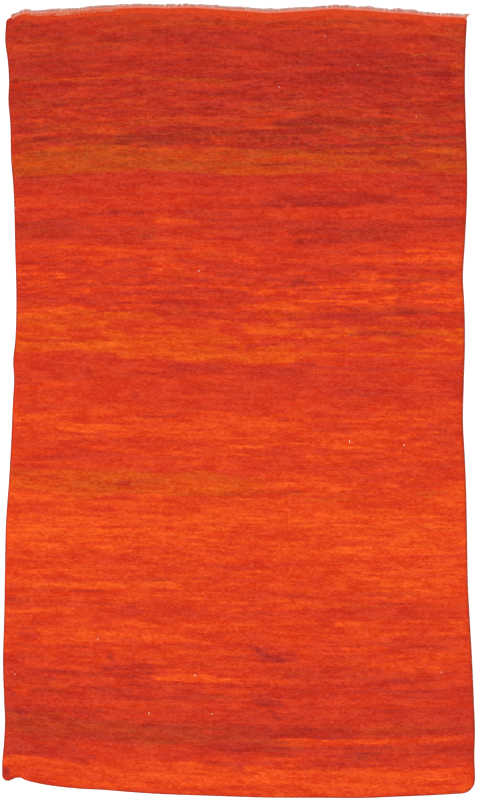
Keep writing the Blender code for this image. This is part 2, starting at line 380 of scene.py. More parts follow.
# Bands and patches in the order that they are laid, in steps of the photograph: left, right, top,
# bottom, dye lot, and the share of the yarns that take it. Over 1 they all do. A band from 0 or to
# 477 runs on over that edge.
bands = (
    (0, 477, 0, 36, "warmBrick", 1.3), (0, 477, 31, 118, "brick", 1.3), (330, 440, 48, 84, "crimson", 1.0),
    (0, 110, 28, 50, "warmBrick", 0.4), (0, 110, 20, 31, "tomato", 0.7), (200, 380, 68, 84, "crimson", 0.6),
    (0, 140, 72, 80, "warmBrick", 0.7), (0, 477, 100, 118, "warmBrick", 0.45),
    (420, 477, 18, 60, "warmBrick", 0.4), (0, 477, 117, 150, "warmBrick", 1.2),
    (120, 300, 127, 148, "brown", 0.7), (300, 400, 116, 131, "brown", 0.75),
    (310, 477, 129, 147, "tomato", 0.5), (400, 477, 116, 140, "brick", 0.5),
    (0, 477, 149, 174, "rustGold", 1.3), (290, 477, 146, 174, "warmBrick", 0.62),
    (0, 477, 174, 206, "tomato", 1.4), (0, 200, 190, 220, "poppy", 0.9), (120, 300, 190, 218, "poppy", 0.6),
    (270, 400, 192, 207, "crimson", 1.0), (400, 477, 176, 196, "crimson", 0.3),
    (271, 470, 204, 218, "poppy", 1.1), (0, 270, 205, 240, "tomato", 0.45),
    (0, 477, 220, 243, "tomato", 1.2), (0, 90, 219, 231, "brick", 0.6), (120, 300, 230, 244, "poppy", 0.5),
    (290, 400, 228, 244, "brick", 0.7), (0, 477, 240, 262, "poppy", 1.3), (0, 250, 245, 264, "orange", 0.9),
    (300, 400, 243, 256, "tomato", 0.6), (360, 477, 248, 261, "flame", 0.6),
    (0, 477, 262, 315, "tomato", 1.3), (0, 477, 262, 314, "orange", 0.42), (0, 110, 279, 312, "poppy", 0.6),
    (370, 477, 276, 314, "flame", 0.55), (290, 400, 296, 310, "flame", 0.45),
    (0, 477, 314, 357, "goldOrange", 1.1), (130, 477, 310, 346, "poppy", 0.55),
    (290, 477, 312, 327, "tomato", 0.7), (0, 120, 326, 342, "poppy", 0.4),
    (230, 477, 340, 352, "poppy", 0.75), (0, 477, 357, 416, "poppy", 1.4),
    (90, 290, 350, 361, "goldOrange", 0.9), (110, 400, 366, 382, "tomato", 0.45),
    (300, 477, 370, 400, "tomato", 0.25), (0, 140, 380, 414, "orange", 0.5),
    (0, 477, 413, 445, "flame", 1.0), (300, 477, 414, 432, "poppy", 0.55),
    (0, 160, 429, 446, "poppy", 0.25), (400, 477, 428, 446, "poppy", 0.4), (0, 477, 443, 472, "poppy", 1.3),
    (0, 477, 446, 470, "orange", 0.4), (200, 390, 438, 447, "flame", 0.7),
    (105, 200, 447, 457, "orange", 0.5), (290, 477, 454, 465, "orange", 0.5),
    (0, 240, 472, 497, "oliveGold", 1.3), (230, 300, 476, 497, "oliveGold", 0.6),
    (270, 477, 470, 500, "orange", 1.0), (240, 477, 488, 498, "oliveGold", 0.35),
    (280, 477, 480, 494, "flame", 0.5), (0, 477, 497, 594, "flame", 1.4),
    (80, 230, 496, 522, "orange", 0.6), (260, 477, 497, 520, "brightFlame", 0.35),
    (0, 110, 519, 541, "brightFlame", 0.85), (230, 477, 524, 550, "brightFlame", 0.35),
    (380, 477, 526, 560, "brightFlame", 0.4), (100, 330, 556, 588, "orange", 0.6),
    (0, 477, 590, 612, "orange", 1.0), (0, 477, 592, 612, "greyBrown", 0.10),
    (0, 120, 610, 627, "flame", 1.0), (190, 400, 598, 613, "flame", 0.55),
    (120, 477, 606, 622, "poppy", 0.5), (0, 477, 620, 662, "orange", 1.2),
    (120, 240, 620, 660, "flame", 0.3), (230, 400, 638, 666, "poppy", 0.6),
    (0, 200, 642, 666, "orange", 0.6), (0, 477, 662, 712, "poppy", 1.3), (0, 477, 668, 706, "tomato", 0.6),
    (0, 60, 672, 692, "tomato", 0.7), (360, 477, 660, 670, "orange", 0.6),
    (0, 477, 710, 726, "tomato", 0.9), (0, 70, 713, 742, "greyBrown", 1.1),
    (50, 130, 717, 746, "greyBrown", 1.1), (110, 200, 722, 752, "greyBrown", 1.0),
    (180, 300, 725, 756, "greyBrown", 1.0), (290, 477, 725, 737, "greyBrown", 0.9),
    (290, 477, 747, 762, "brick", 0.9), (0, 310, 742, 757, "tomato", 0.7), (0, 190, 756, 764, "poppy", 1.3),
    (180, 477, 759, 773, "poppy", 1.1), (190, 300, 756, 768, "tomato", 0.6),
    (0, 477, 762, 800, "flame", 1.3), (260, 477, 758, 770, "poppy", 0.5), (0, 90, 744, 759, "tomato", 1.1),
    (452, 477, 28, 84, "warmBrick", 0.8), (195, 290, 742, 753, "brick", 0.7),
    (195, 380, 757, 768, "tomato", 0.6), (200, 477, 135, 148, "brown", 0.5),
    (180, 477, 726, 738, "greyBrown", 0.4), (200, 375, 264, 279, "tomato", 0.5),
    (290, 465, 487, 501, "goldOrange", 0.5), (0, 200, 646, 668, "flame", 0.4),
    (285, 377, 54, 78, "crimson", 0.5), (285, 475, 398, 413, "orange", 0.5),
)

# Small oval marks, laid over the bands, in the same columns.
marks = (
    (46, 140, 77, 80, "rustGold", 0.6), (60, 100, 74, 76, "rustGold", 0.35),
    (138, 230, 78, 80, "rustGold", 0.35), (49, 86, 67, 75, "crimson", 0.6),
    (84, 98, 54, 58, "deepCrimson", 0.9), (17, 35, 121, 123, "brown", 0.9),
    (335, 463, 61, 84, "deepCrimson", 0.3), (272, 344, 52, 86, "crimson", 0.5),
    (396, 444, 48, 59, "warmBrick", 0.8), (264, 344, 49, 50, "warmBrick", 0.8),
    (379, 392, 87, 98, "deepCrimson", 0.6), (271, 317, 118, 132, "brown", 0.7),
    (326, 369, 128, 131, "rustGold", 0.5), (32, 61, 136, 140, "brown", 0.8),
    (70, 80, 144, 146, "brown", 0.8), (142, 204, 132, 144, "brown", 0.7),
    (188, 202, 137, 143, "deepCrimson", 1.0), (214, 264, 131, 146, "brown", 0.7),
    (329, 353, 137, 144, "tomato", 1.0), (384, 410, 144, 146, "rustGold", 0.8),
    (421, 464, 149, 152, "rustGold", 0.8), (375, 421, 158, 167, "brown", 0.55),
    (327, 336, 161, 167, "brown", 0.6), (18, 50, 175, 179, "crimson", 0.9),
    (418, 464, 174, 177, "crimson", 0.9), (399, 459, 198, 200, "crimson", 0.8),
    (280, 303, 201, 206, "deepCrimson", 0.8), (107, 150, 209, 215, "brown", 0.3),
    (15, 77, 208, 214, "tomato", 0.6), (15, 107, 222, 227, "crimson", 0.7),
    (138, 240, 221, 224, "flame", 0.6), (399, 459, 217, 219, "crimson", 0.8),
    (134, 156, 223, 239, "greyBrown", 0.6), (294, 347, 239, 244, "crimson", 0.8),
    (173, 191, 247, 250, "crimson", 0.9), (375, 451, 250, 253, "brightFlame", 0.8),
    (323, 378, 258, 261, "flame", 0.8), (399, 448, 257, 261, "brightFlame", 0.7),
    (347, 401, 273, 277, "flame", 0.8), (20, 49, 275, 277, "crimson", 0.9),
    (292, 304, 277, 287, "crimson", 0.9), (375, 398, 287, 301, "flame", 0.9),
    (162, 191, 288, 290, "crimson", 0.9), (162, 191, 291, 293, "brightFlame", 0.6),
    (298, 347, 300, 303, "brightFlame", 0.8), (313, 341, 310, 312, "brightFlame", 0.7),
    (385, 433, 312, 315, "crimson", 0.9), (20, 110, 323, 325, "tomato", 0.8),
    (161, 227, 324, 326, "tomato", 0.7), (347, 418, 332, 336, "brown", 0.5),
    (294, 318, 363, 366, "crimson", 0.8), (80, 94, 370, 377, "tomato", 0.5),
    (132, 141, 392, 400, "tomato", 0.7), (355, 375, 395, 397, "crimson", 0.9),
    (20, 54, 411, 414, "tomato", 0.9), (138, 178, 415, 418, "tomato", 0.9),
    (159, 193, 421, 427, "brightFlame", 0.6), (254, 306, 420, 422, "tomato", 0.6),
    (390, 459, 424, 433, "tomato", 0.5), (15, 107, 456, 459, "tomato", 0.7),
    (369, 398, 459, 461, "brightFlame", 0.7), (116, 130, 480, 485, "tomato", 0.5),
    (375, 401, 485, 487, "brightFlame", 0.7), (260, 338, 491, 495, "brown", 0.25),
    (419, 436, 491, 497, "oliveGold", 0.8), (352, 369, 498, 501, "tomato", 0.8),
    (258, 298, 498, 506, "brightFlame", 0.5), (353, 405, 515, 518, "brightFlame", 0.8),
    (127, 161, 524, 530, "brightFlame", 0.7), (341, 369, 533, 538, "brightFlame", 0.8),
    (107, 240, 541, 547, "brightFlame", 0.6), (58, 69, 540, 542, "poppy", 0.9),
    (110, 129, 546, 552, "brightFlame", 0.8), (317, 462, 547, 552, "brightFlame", 0.6),
    (405, 465, 555, 557, "poppy", 0.8), (9, 18, 582, 589, "poppy", 0.8),
    (119, 142, 607, 617, "tomato", 0.8), (314, 336, 621, 626, "tomato", 0.8),
    (17, 40, 627, 639, "tomato", 0.8), (344, 369, 639, 641, "tomato", 0.9),
    (255, 296, 646, 664, "tomato", 0.5), (343, 392, 646, 650, "brightFlame", 0.7),
    (58, 98, 645, 650, "tomato", 0.6), (113, 122, 647, 649, "brightFlame", 1.0),
    (107, 115, 653, 661, "greyBrown", 0.8), (135, 240, 675, 681, "flame", 0.9),
    (14, 29, 686, 695, "flame", 0.9), (246, 284, 697, 722, "crimson", 0.35),
    (64, 107, 707, 714, "crimson", 0.8), (17, 28, 710, 722, "deepCrimson", 0.9),
    (58, 84, 722, 727, "brown", 0.9), (142, 156, 723, 727, "deepCrimson", 0.9),
    (121, 135, 742, 747, "deepCrimson", 0.9), (57, 80, 733, 735, "poppy", 0.9),
    (240, 360, 727, 739, "crimson", 0.5), (276, 471, 738, 744, "flame", 1.3),
    (282, 340, 743, 747, "orange", 1.0), (355, 382, 751, 760, "brown", 0.8),
    (261, 289, 768, 770, "brightFlame", 0.8), (366, 390, 767, 769, "brightFlame", 0.8),
    (142, 170, 759, 761, "brightFlame", 0.7), (410, 430, 51, 56, "rustGold", 0.25),
    (0, 10, 766, 783, "crimson", 0.9), (108, 192, 278, 286, "crimson", 0.5),
    (200, 460, 287, 294, "flame", 0.5), (285, 380, 198, 207, "crimson", 0.6),
    (280, 375, 126, 133, "brown", 0.5), (15, 107, 316, 322, "goldOrange", 0.8),
    (200, 285, 342, 351, "tomato", 0.5), (290, 462, 454, 463, "flame", 0.5),
    (378, 464, 478, 487, "brightFlame", 0.6), (15, 107, 526, 535, "brightFlame", 0.6),
    (375, 466, 525, 535, "brightFlame", 0.6), (380, 460, 86, 94, "crimson", 0.5),
    (15, 107, 470, 478, "goldOrange", 0.6), (15, 200, 158, 160, "brown", 0.5),
    (200, 300, 164, 166, "brown", 0.5), (30, 240, 152, 154, "brown", 0.45),
    (240, 330, 690, 722, "tomato", 0.5), (285, 377, 62, 71, "crimson", 0.6),
    (105, 195, 255, 270, "tomato", 0.6), (375, 466, 279, 286, "tomato", 0.5),
    (375, 466, 527, 535, "brightFlame", 0.6), (375, 466, 494, 501, "brightFlame", 0.5),
    (15, 107, 318, 326, "goldOrange", 0.6), (15, 107, 470, 479, "oliveGold", 0.5),
    (195, 290, 598, 607, "poppy", 0.5), (15, 107, 606, 622, "flame", 0.6),
    (375, 466, 646, 655, "poppy", 0.6), (15, 107, 662, 670, "orange", 0.7),
    (195, 290, 671, 679, "tomato", 0.4), (195, 290, 766, 774, "poppy", 0.6),
    (15, 107, 22, 31, "tomato", 0.8), (15, 107, 303, 310, "tomato", 0.5),
    (12, 190, 735, 742, "greyBrown", 0.8), (200, 290, 755, 767, "tomato", 0.6),
    (108, 192, 279, 285, "tomato", 0.6), (375, 466, 142, 148, "brown", 0.3),
    (290, 375, 406, 422, "poppy", 0.5), (375, 466, 631, 638, "poppy", 0.6),
)

# How streaky the wool is along the rug: place in steps of the photograph, strength.
unrest = (
    (15, 0.9), (60, 0.8), (120, 1.1), (150, 1.0), (178, 0.55), (200, 0.8), (240, 0.9), (264, 1.3),
    (308, 1.2), (320, 0.9), (358, 0.7), (412, 0.7), (430, 0.8), (500, 0.9), (600, 0.9), (640, 0.9),
    (680, 1.1), (720, 0.9), (760, 0.8), (790, 0.8),
)
knotUnrest = np.interp(knotPhotoY, *np.array(unrest, float).T)

# Standard deviations of the streaks, in the dye lots' brightness.
streaks = {
    # runs of one yarn: deviation, length, rows that share it, salt
    "runs": ((0.056, 105, 1, 11), (0.046, 240, 2, 21), (0.034, 24, 1, 31)),
    "patches": (0.042, 340, 21, 41),  # deviation, size across and along, salt
    "knots": 0.024,
    # gold comes and goes in streaks: run length, patch size, the level that adds none, what it adds,
    # and the least that it multiplies by with the gain on that
    "gold": {"run": 95, "patch": (210, 18), "level": 0.54, "adds": 0.7, "least": 0.75, "gain": 0.5},
    # in the furrows: random streaks, stronger towards the upper end, and painted shade that darkens them
    # there, in full above the first of upperEnds
    "furrows": {
        "deviation": 0.085, "runs": (75, 17), "gain": 2.6,
        "upperEnds": (165, 190), "upperGain": 1.3, "upperPaintedShade": 1.1,
    },
}

# How a band or mark is laid over the wool that is there.
laying = {
    "leastRows": 0.9,  # it is at least this many rows high
    "softEnds": (4, 0.22),  # it fades at its ends over this many steps, or this share of its length
    "softRims": (0.35, 0.12),  # the same above and below, in rows and as a share of its height
    "softShare": 0.3,  # how gradually the yarns take its dye as the share grows
    "dashSpread": 0.125,  # standard deviation of the sum of a dash's four parts
}


# Which rows a place in the photograph meets at one column of knots, as fractional row numbers.
def rowsAt(column, top, bottom):
    heights = knotY[:, column]
    wanted = (photoMiddle[1] - np.array([top, bottom], float)) * step
    return np.interp(-wanted, -heights, np.arange(rowCount))


# Random levels from 0 to 1 that are drawn out along the rows: yarn runs of 110, 190 and 34 mm and
# soft patches, summed, then spread evenly by a logistic curve.
def dashes(salt):
    mixed = (
        0.32 * yarnRuns(knotX, rowNumber, 110, salt)
        + 0.24 * yarnRuns(knotX, (rowNumber + salt) // 2, 190, salt + 5)
        + 0.16 * yarnRuns(knotX, rowNumber, 34, salt + 9)
        + 0.28 * softPatches(knotX, knotY, 200, 19, salt + 13)
    )
    return 1 / (1 + np.exp(-1.7 * (mixed - 0.5) / laying["dashSpread"]))


# Lays each band's dye over what is there. A yarn takes it where the share, thinned towards the
# band's ends, is over that yarn's random level. An oval patch narrows to both its ends as a circle
# does.
def layWool(tone, gold, patches, firstSalt, oval):
    for number, (left, right, top, bottom, lot, share) in enumerate(patches):
        centre = (max(left, 10) + min(right, photoWidth - 10)) / 2
        column = int(np.clip(centre / photoWidth * knotCount, 0, knotCount - 1))
        first, last = rowsAt(column, top, bottom)
        middle, half = (first + last) / 2, max(last - first, laying["leastRows"]) / 2
        softX = max(laying["softEnds"][0], laying["softEnds"][1] * (right - left))
        softRows = max(laying["softRims"][0], laying["softRims"][1] * half * 2)
        afterLeft = (knotPhotoX - left) / softX + 0.5 if left > 0 else 1
        beforeRight = (right - knotPhotoX) / softX + 0.5 if right < photoWidth else 1
        insideX = np.minimum(afterLeft, beforeRight)
        waist = 1.0
        if oval:
            outward = (knotPhotoX - (left + right) / 2) / ((right - left) / 2 + 3)
            waist = np.sqrt(np.clip(1 - outward**2, 0, 1))
        insideY = (half * waist - np.abs(rowNumber - middle)) / softRows + 0.5
        inside = np.clip(insideX, 0, 1) * np.clip(insideY, 0, 1)
        over = share * inside - dashes(firstSalt + 17 * number)
        taken = np.clip(over / laying["softShare"] + 0.5 * inside, 0, 1)
        lotTone, lotGold = dyeLots[lot]
        tone = tone + (lotTone - tone) * taken
        gold = gold + (lotGold - gold) * taken
    return tone, gold


# Brightness and gold of each knot's wool: the bands, the marks, then streaks that grow with the
# place's unrest, and one small random part for each knot. Gold comes and goes in its own streaks.
def dyeKnots():
    plain = dyeLots["poppy"]
    tone, gold = layWool(*[np.full(knotX.shape, level) for level in plain], bands, 300, False)
    tone, gold = layWool(tone, gold, marks, 5000, True)
    # painted shade in the folds: the dye's brightness is lowered there
    tone = tone - foldPaintedShade(knotX, knotY)
    evenSpread = 12**0.5  # turns an even spread from 0 to 1 into a standard deviation of 1
    patchSpread = 5  # the same for soft patches
    patchDeviation, *patch = streaks["patches"]
    golds = streaks["gold"]
    streak = sum(
        deviation * evenSpread * (yarnRuns(knotX, (rowNumber + rows - 1) // rows, length, salt) - 0.5)
        for deviation, length, rows, salt in streaks["runs"]
    )
    streak = streak + patchDeviation * patchSpread * (softPatches(knotX, knotY, *patch) - 0.5)
    streak = streak + streaks["knots"] * evenSpread * (drawn(knotNumber, rowNumber, 51) - 0.5)
    tone = np.clip(tone + knotUnrest * streak, 0.02, 0.98)
    golden = 0.5 * yarnRuns(knotX, rowNumber, golds["run"], 61)
    golden = golden + 0.5 * softPatches(knotX, knotY, *golds["patch"], 71)
    gold = gold * (golds["least"] + golds["gain"] * golden)
    gold = gold + golds["adds"] * knotUnrest * (golden - golds["level"])
    return tone, gold


knotTone, knotGold = dyeKnots()
print("wool dyed")


# Puts points and faces into a new mesh object. corners lists the faces' points in turn and sizes
# how many each face has.
def newPiece(name, points, corners, sizes, finishes, uv=None, finishOf=None, sharpAngle=None):
    mesh = bpy.data.meshes.new(name)
    mesh.vertices.add(len(points))
    mesh.vertices.foreach_set("co", np.asarray(points, np.float32).ravel())
    mesh.loops.add(len(corners))
    mesh.loops.foreach_set("vertex_index", np.asarray(corners, np.int32))
    mesh.polygons.add(len(sizes))
    starts = np.concatenate([[0], np.cumsum(sizes)[:-1]])
    mesh.polygons.foreach_set("loop_start", starts.astype(np.int32))
    mesh.update(calc_edges=True)
    for finish in finishes:
        mesh.materials.append(finish)
    if finishOf is not None:
        mesh.polygons.foreach_set("material_index", np.asarray(finishOf, np.int32))
    if uv is not None:
        layer = mesh.uv_layers.new(name="OFBake")
        layer.uv.foreach_set("vector", np.asarray(uv, np.float32).ravel())
    mesh.shade_smooth()
    if sharpAngle:
        mesh.set_sharp_from_angle(angle=math.radians(sharpAngle))
    piece = bpy.data.objects.new(name, mesh)
    bpy.context.scene.collection.objects.link(piece)
    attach(piece, "root")
    return piece


# Stores one number for each point of a piece, for its material to read.
def setLevel(piece, name, values):
    layer = piece.data.attributes.new(name, "FLOAT", "POINT")
    layer.data.foreach_set("value", np.asarray(values, np.float32).ravel())


# The quads of a grid of points, facing up, and its outermost points once round anticlockwise.
def gridQuads(rows, columns):
    index = np.arange(rows * columns).reshape(rows, columns)
    quads = np.stack([index[:-1, :-1], index[:-1, 1:], index[1:, 1:], index[1:, :-1]], -1)
    loop = np.concatenate([index[0], index[1:, -1], index[-1, -2::-1], index[-2:0:-1, 0]])
    return quads.reshape(-1, 4), loop


# A closed sheet from an upper and a lower grid of points: both grids, joined round the rim. The
# map holds the upper side in one half, the lower in the other, and the rim in a strip beyond.
def closedSheet(name, upper, lower, finishes):
    rows, columns = upper.shape[:2]
    count = rows * columns
    quads, loop = gridQuads(rows, columns)
    ahead = np.roll(loop, -1)
    rim = np.stack([loop, loop + count, ahead + count, ahead], -1)
    faces = np.concatenate([quads, quads[:, ::-1] + count, rim])
    u, v = np.meshgrid(np.linspace(0.005, 0.995, columns), np.linspace(0, 1, rows))
    flat = np.stack([u.ravel(), v.ravel()], -1)
    round0 = np.linspace(0, 0.99, len(loop))
    round1 = round0 + 0.99 / len(loop)
    low, high = np.zeros_like(round0), np.ones_like(round0)
    rimUv = np.stack([round0, low, round0, high, round1, high, round1, low], -1)
    uv = np.concatenate([
        flat[quads] * (1, 0.47) + (0, 0.005),
        flat[quads[:, ::-1]] * (1, 0.47) + (0, 0.49),
        rimUv.reshape(-1, 4, 2) * (1, 0.02) + (0.005, 0.975),
    ])
    points = np.concatenate([upper.reshape(-1, 3), lower.reshape(-1, 3)])
    below = np.repeat([0, min(1, len(finishes) - 1), 0], [len(quads), len(quads), len(rim)])
    return newPiece(name, points, faces.ravel(), np.full(len(faces), 4), finishes, uv.reshape(-1, 2), below)


# Many closed strands in one mesh. rings holds, for each strand and each station along it, the
# points round its section, anticlockwise as seen from ahead. Both ends are capped.
def strandPiece(name, rings, finishes):
    strands, stations, around = rings.shape[:3]
    index = np.arange(strands * stations * around).reshape(strands, stations, around)
    turned = np.roll(index, -1, axis=2)
    sides = np.stack([index[:, :-1], turned[:, :-1], turned[:, 1:], index[:, 1:]], -1).reshape(-1, 4)
    caps = np.concatenate([index[:, 0, ::-1], index[:, -1]])
    corners = np.concatenate([sides.ravel(), caps.ravel()])
    sizes = np.concatenate([np.full(len(sides), 4), np.full(len(caps), around)])
    return newPiece(name, rings.reshape(-1, 3), corners, sizes, finishes)


# Sections round paths: each path's points, plus a circle in the plane across it. The first axis of
# the circle lies level, to the left of the way ahead, and the second stands up from it.
def ringsAlong(paths, radius, around, flatten=1.0):
    ahead = np.gradient(paths, axis=-2)
    ahead /= np.maximum(np.linalg.norm(ahead, axis=-1, keepdims=True), 1e-12)
    level = np.cross((0.0, 0.0, 1.0), ahead)
    level /= np.maximum(np.linalg.norm(level, axis=-1, keepdims=True), 1e-12)
    rise = np.cross(ahead, level)
    turn = 2 * math.pi * np.arange(around) / around
    radius = np.asarray(radius)[..., None, None]
    side = level[..., None, :] * np.cos(turn)[:, None] * radius
    up = rise[..., None, :] * np.sin(turn)[:, None] * radius * flatten
    return paths[..., None, :] + side + up


# sRGB hex to linear values.
def fromHex(code):
    value = np.array([int(code[k:k + 2], 16) for k in (1, 3, 5)]) / 255
    linear = np.where(value <= 0.04045, value / 12.92, ((value + 0.055) / 1.055) ** 2.4)
    return (*linear.tolist(), 1.0)


# Adds a node: its own settings, the values of its sockets, and the sockets that feed it.
def addNode(tree, kind, settings=(), values=(), links=()):
    node = tree.nodes.new(kind)
    for name, value in dict(settings).items():
        setattr(node, name, value)
    for name, value in dict(values).items():
        node.inputs[name].default_value = value
    for name, source in dict(links).items():
        tree.links.new(source, node.inputs[name])
    return node


# A matt material with a little sheen, whose shader the caller goes on with.
def newMaterial(name, roughness, sheen=0.0, sheenTint="#ffffff"):
    material = bpy.data.materials.new(name)
    material.use_nodes = True
    tree = material.node_tree
    shader = tree.nodes["Principled BSDF"]
    shader.inputs["Roughness"].default_value = roughness
    shader.inputs["Specular IOR Level"].default_value = 0.05  # dyed wool has hardly any gloss
    shader.inputs["Sheen Weight"].default_value = sheen
    shader.inputs["Sheen Roughness"].default_value = 0.5
    shader.inputs["Sheen Tint"].default_value = fromHex(sheenTint)
    return material, tree, shader


# Puts evenly spaced hex colours on a colour ramp and gives its colour on.
def setStops(ramp, codes):
    stops = ramp.color_ramp.elements
    while len(stops) < len(codes):
        stops.new(0.5)
    for number, code in enumerate(codes):
        stops[number].position = number / (len(codes) - 1)
        stops[number].color = fromHex(code)
    return ramp.outputs[0]


# Gives a shader its colour, and its fibres or threads as a bump so many mm high.
def dressWool(tree, shader, colour, height, strength, depth, settings=()):
    bump = addNode(
        tree, "ShaderNodeBump", settings, {"Strength": strength, "Distance": depth * mm}, {"Height": height}
    )
    tree.links.new(colour, shader.inputs["Base Color"])
    tree.links.new(bump.outputs["Normal"], shader.inputs["Normal"])


# settings that many nodes share
blended = {"data_type": "RGBA"}
multiplied = {"data_type": "RGBA", "blend_type": "MULTIPLY"}
added = {"data_type": "RGBA", "blend_type": "ADD"}
scaled = {"operation": "MULTIPLY_ADD"}

wool = {
    # madder and cochineal reds from deep crimson to flame, and the same with weld yellow in them
    "red": ("#861e18", "#99261a", "#a92d17", "#b63411", "#c64811"),
    "gold": ("#803112", "#943a10", "#a63e0f", "#b54409", "#c4590b"),
    "wear": ("#ecb79a", "#ffffff"),  # what multiplies the dye of a fresh tip, and of a worn one
    # painted sheen, added to the dye: white light scattered by loose fuzz
    "paintedSheen": ("#000000", "#000000", "#030303", "#181b1e", "#181b1e"),  # from thin slubs to thick
    # grains: mm across, stretch across, along and up, detail, roughness
    "plies": (1.3, (1.0, 0.28, 0.6), 3.0, 0.65),
    "slubs": (4.0, (0.3, 1.0, 1.0), 2.0, 0.6),
    "slubSpread": 0.07,  # how far a slub's dye wanders
    # how worn a place is: its own level and the gain times the fuzz, less the last of these
    "fuzzPlies": 1.1,  # plies in the fuzz, to one part of slubs
    "fuzzGain": 2.6,
    "fuzzLevel": 2.73,
}


# Wool whose brightness and gold come from the piece's own levels. Its grains are noise drawn out one
# way: plies of the cut tufts, which lie along the rug, and slubs of hand-spun yarn along the rows,
# 4 mm thick and 13 mm long where the real ones are half that, so that they show. Light and feet wear
# the tips paler and less red, so a ramp that ends in white multiplies the dye, and a painted sheen
# ramp adds a little white where the slubs are thick, for the light that loose fuzz scatters. Given a
# footDepth, painted shade darkens each tuft from its tips down to its feet.
def woolColour(tree, footDepth):
    place = addNode(tree, "ShaderNodeTexCoord").outputs["Object"]
    grains = []
    for size, stretch, detail, roughness in (wool["plies"], wool["slubs"]):
        lie = addNode(tree, "ShaderNodeMapping", values={"Scale": stretch}, links={"Vector": place})
        grains.append(addNode(
            tree, "ShaderNodeTexNoise", {}, {"Scale": 1000 / size, "Detail": detail, "Roughness": roughness},
            {"Vector": lie.outputs[0]},
        ).outputs["Fac"])
    fibre, slub = grains
    tone, gold, worn = (
        addNode(tree, "ShaderNodeAttribute", {"attribute_name": name}).outputs["Fac"]
        for name in ("tone", "gold", "worn")
    )
    spread = wool["slubSpread"]
    wander = addNode(tree, "ShaderNodeMath", scaled, {1: spread * 2, 2: -spread}, {0: slub}).outputs[0]
    varied = addNode(tree, "ShaderNodeMath", {"operation": "ADD"}, links={0: tone, 1: wander}).outputs[0]
    reds = setStops(addNode(tree, "ShaderNodeValToRGB", links={"Fac": varied}), wool["red"])
    golds = setStops(addNode(tree, "ShaderNodeValToRGB", links={"Fac": varied}), wool["gold"])
    colour = addNode(tree, "ShaderNodeMix", blended, links={0: gold, 6: reds, 7: golds}).outputs[2]
    fuzz = addNode(tree, "ShaderNodeMath", scaled, {1: wool["fuzzPlies"]}, {0: fibre, 2: slub}).outputs[0]
    frayed = addNode(tree, "ShaderNodeMath", scaled, {1: wool["fuzzGain"]}, {0: fuzz, 2: worn}).outputs[0]
    paleness = addNode(
        tree, "ShaderNodeMath", {"operation": "SUBTRACT"}, {1: wool["fuzzLevel"]}, {0: frayed}
    ).outputs[0]
    wear = setStops(addNode(tree, "ShaderNodeValToRGB", links={"Fac": paleness}), wool["wear"])
    # painted sheen: a little white added where the slubs are thick
    paintedSheen = setStops(addNode(tree, "ShaderNodeValToRGB", links={"Fac": slub}), wool["paintedSheen"])
    colour = addNode(tree, "ShaderNodeMix", multiplied, {0: 1.0}, {6: colour, 7: wear}).outputs[2]
    colour = addNode(tree, "ShaderNodeMix", added, {0: 1.0}, {6: colour, 7: paintedSheen}).outputs[2]
    # painted shade at the tufts' feet: the dye darkens to footDepth times itself where the root level is 0
    if footDepth:
        root = addNode(tree, "ShaderNodeAttribute", {"attribute_name": "root"}).outputs["Fac"]
        paintedFootShade = addNode(tree, "ShaderNodeMapRange", {}, {3: footDepth, 4: 1.0}, {0: root}).outputs[0]
        colour = addNode(tree, "ShaderNodeMix", multiplied, {0: 1.0}, {6: colour, 7: paintedFootShade}).outputs[2]
    return colour, fibre, place


# Hand-knotted wool pile, clipped and walked on: matt, with single yarns that stand out by a shade,
# and a faint sheen at low angles.
def makePileWool():
    material, tree, shader = newMaterial("clipped wool pile", 0.95, 0.12, "#ff9a70")
    # footDepth 0.98: painted shade darkens the tufts' feet a little
    colour, fibre, place = woolColour(tree, 0.98)
    dressWool(tree, shader, colour, fibre, 0.35, 0.7)
    return material


# The dense feet of the tufts, seen down the furrows between rows: the same dyes, darkened by painted shade of
# the furrows.
def makeGroundWool():
    material, tree, shader = newMaterial("knotted wool ground", 0.95)
    colour, fibre, place = woolColour(tree, 0)
    # painted shade of the furrows, multiplied into the dye
    shade = {0: 1.0, 7: (0.86, 0.82, 0.80, 1.0)}
    furrowShaded = addNode(tree, "ShaderNodeMix", multiplied, shade, {6: colour}).outputs[2]
    dressWool(tree, shader, furrowShaded, fibre, 0.5, 0.9)
    return material


# The rug's back: each knot shows as two small loops of its dyed yarn, in rows with a few shots of
# orange-red weft between them, pressed flat.
def makeBackWool():
    material, tree, shader = newMaterial("woven wool back", 0.92)
    colour, fibre, place = woolColour(tree, 0)
    loops = addNode(
        tree, "ShaderNodeTexBrick", {"offset": 0.5, "squash": 1.0},
        {
            "Color1": (1, 1, 1, 1), "Color2": (0.8, 0.8, 0.8, 1), "Mortar": (0, 0, 0, 1), "Scale": 1.0,
            "Mortar Size": 0.0012, "Mortar Smooth": 0.6, "Bias": 0.0,
            "Brick Width": knots["knotPitch"] * mm / 2, "Row Height": knots["rowPitch"] * mm / 2,
        },
        {"Vector": place},
    ).outputs["Fac"]
    weft = addNode(tree, "ShaderNodeMix", blended, {7: fromHex("#a5401f")}, {0: loops, 6: colour}).outputs[2]
    dressWool(tree, shader, weft, loops, 0.8, 1.0, {"invert": True})
    return material


# A plain hand-spun yarn in one dye, with painted shade for its hollows: two close colours mixed by
# slubs a few mm long, and fine fibres as bump.
def makeYarn(name, yarnShade, light, slubSize):
    material, tree, shader = newMaterial(name, 0.92, 0.1, light)
    place = addNode(tree, "ShaderNodeTexCoord").outputs["Object"]
    slub, fibre = (
        addNode(tree, "ShaderNodeTexNoise", {}, {"Scale": scale, "Detail": detail}, {"Vector": place})
        for scale, detail in ((1000 / slubSize, 3.0), (1400.0, 2.0))
    )
    colour = addNode(tree, "ShaderNodeValToRGB", links={"Fac": slub.outputs["Fac"]})
    dressWool(tree, shader, setStops(colour, (yarnShade, yarnShade, light, light)), fibre.outputs["Fac"], 0.5, 0.5)
    return material


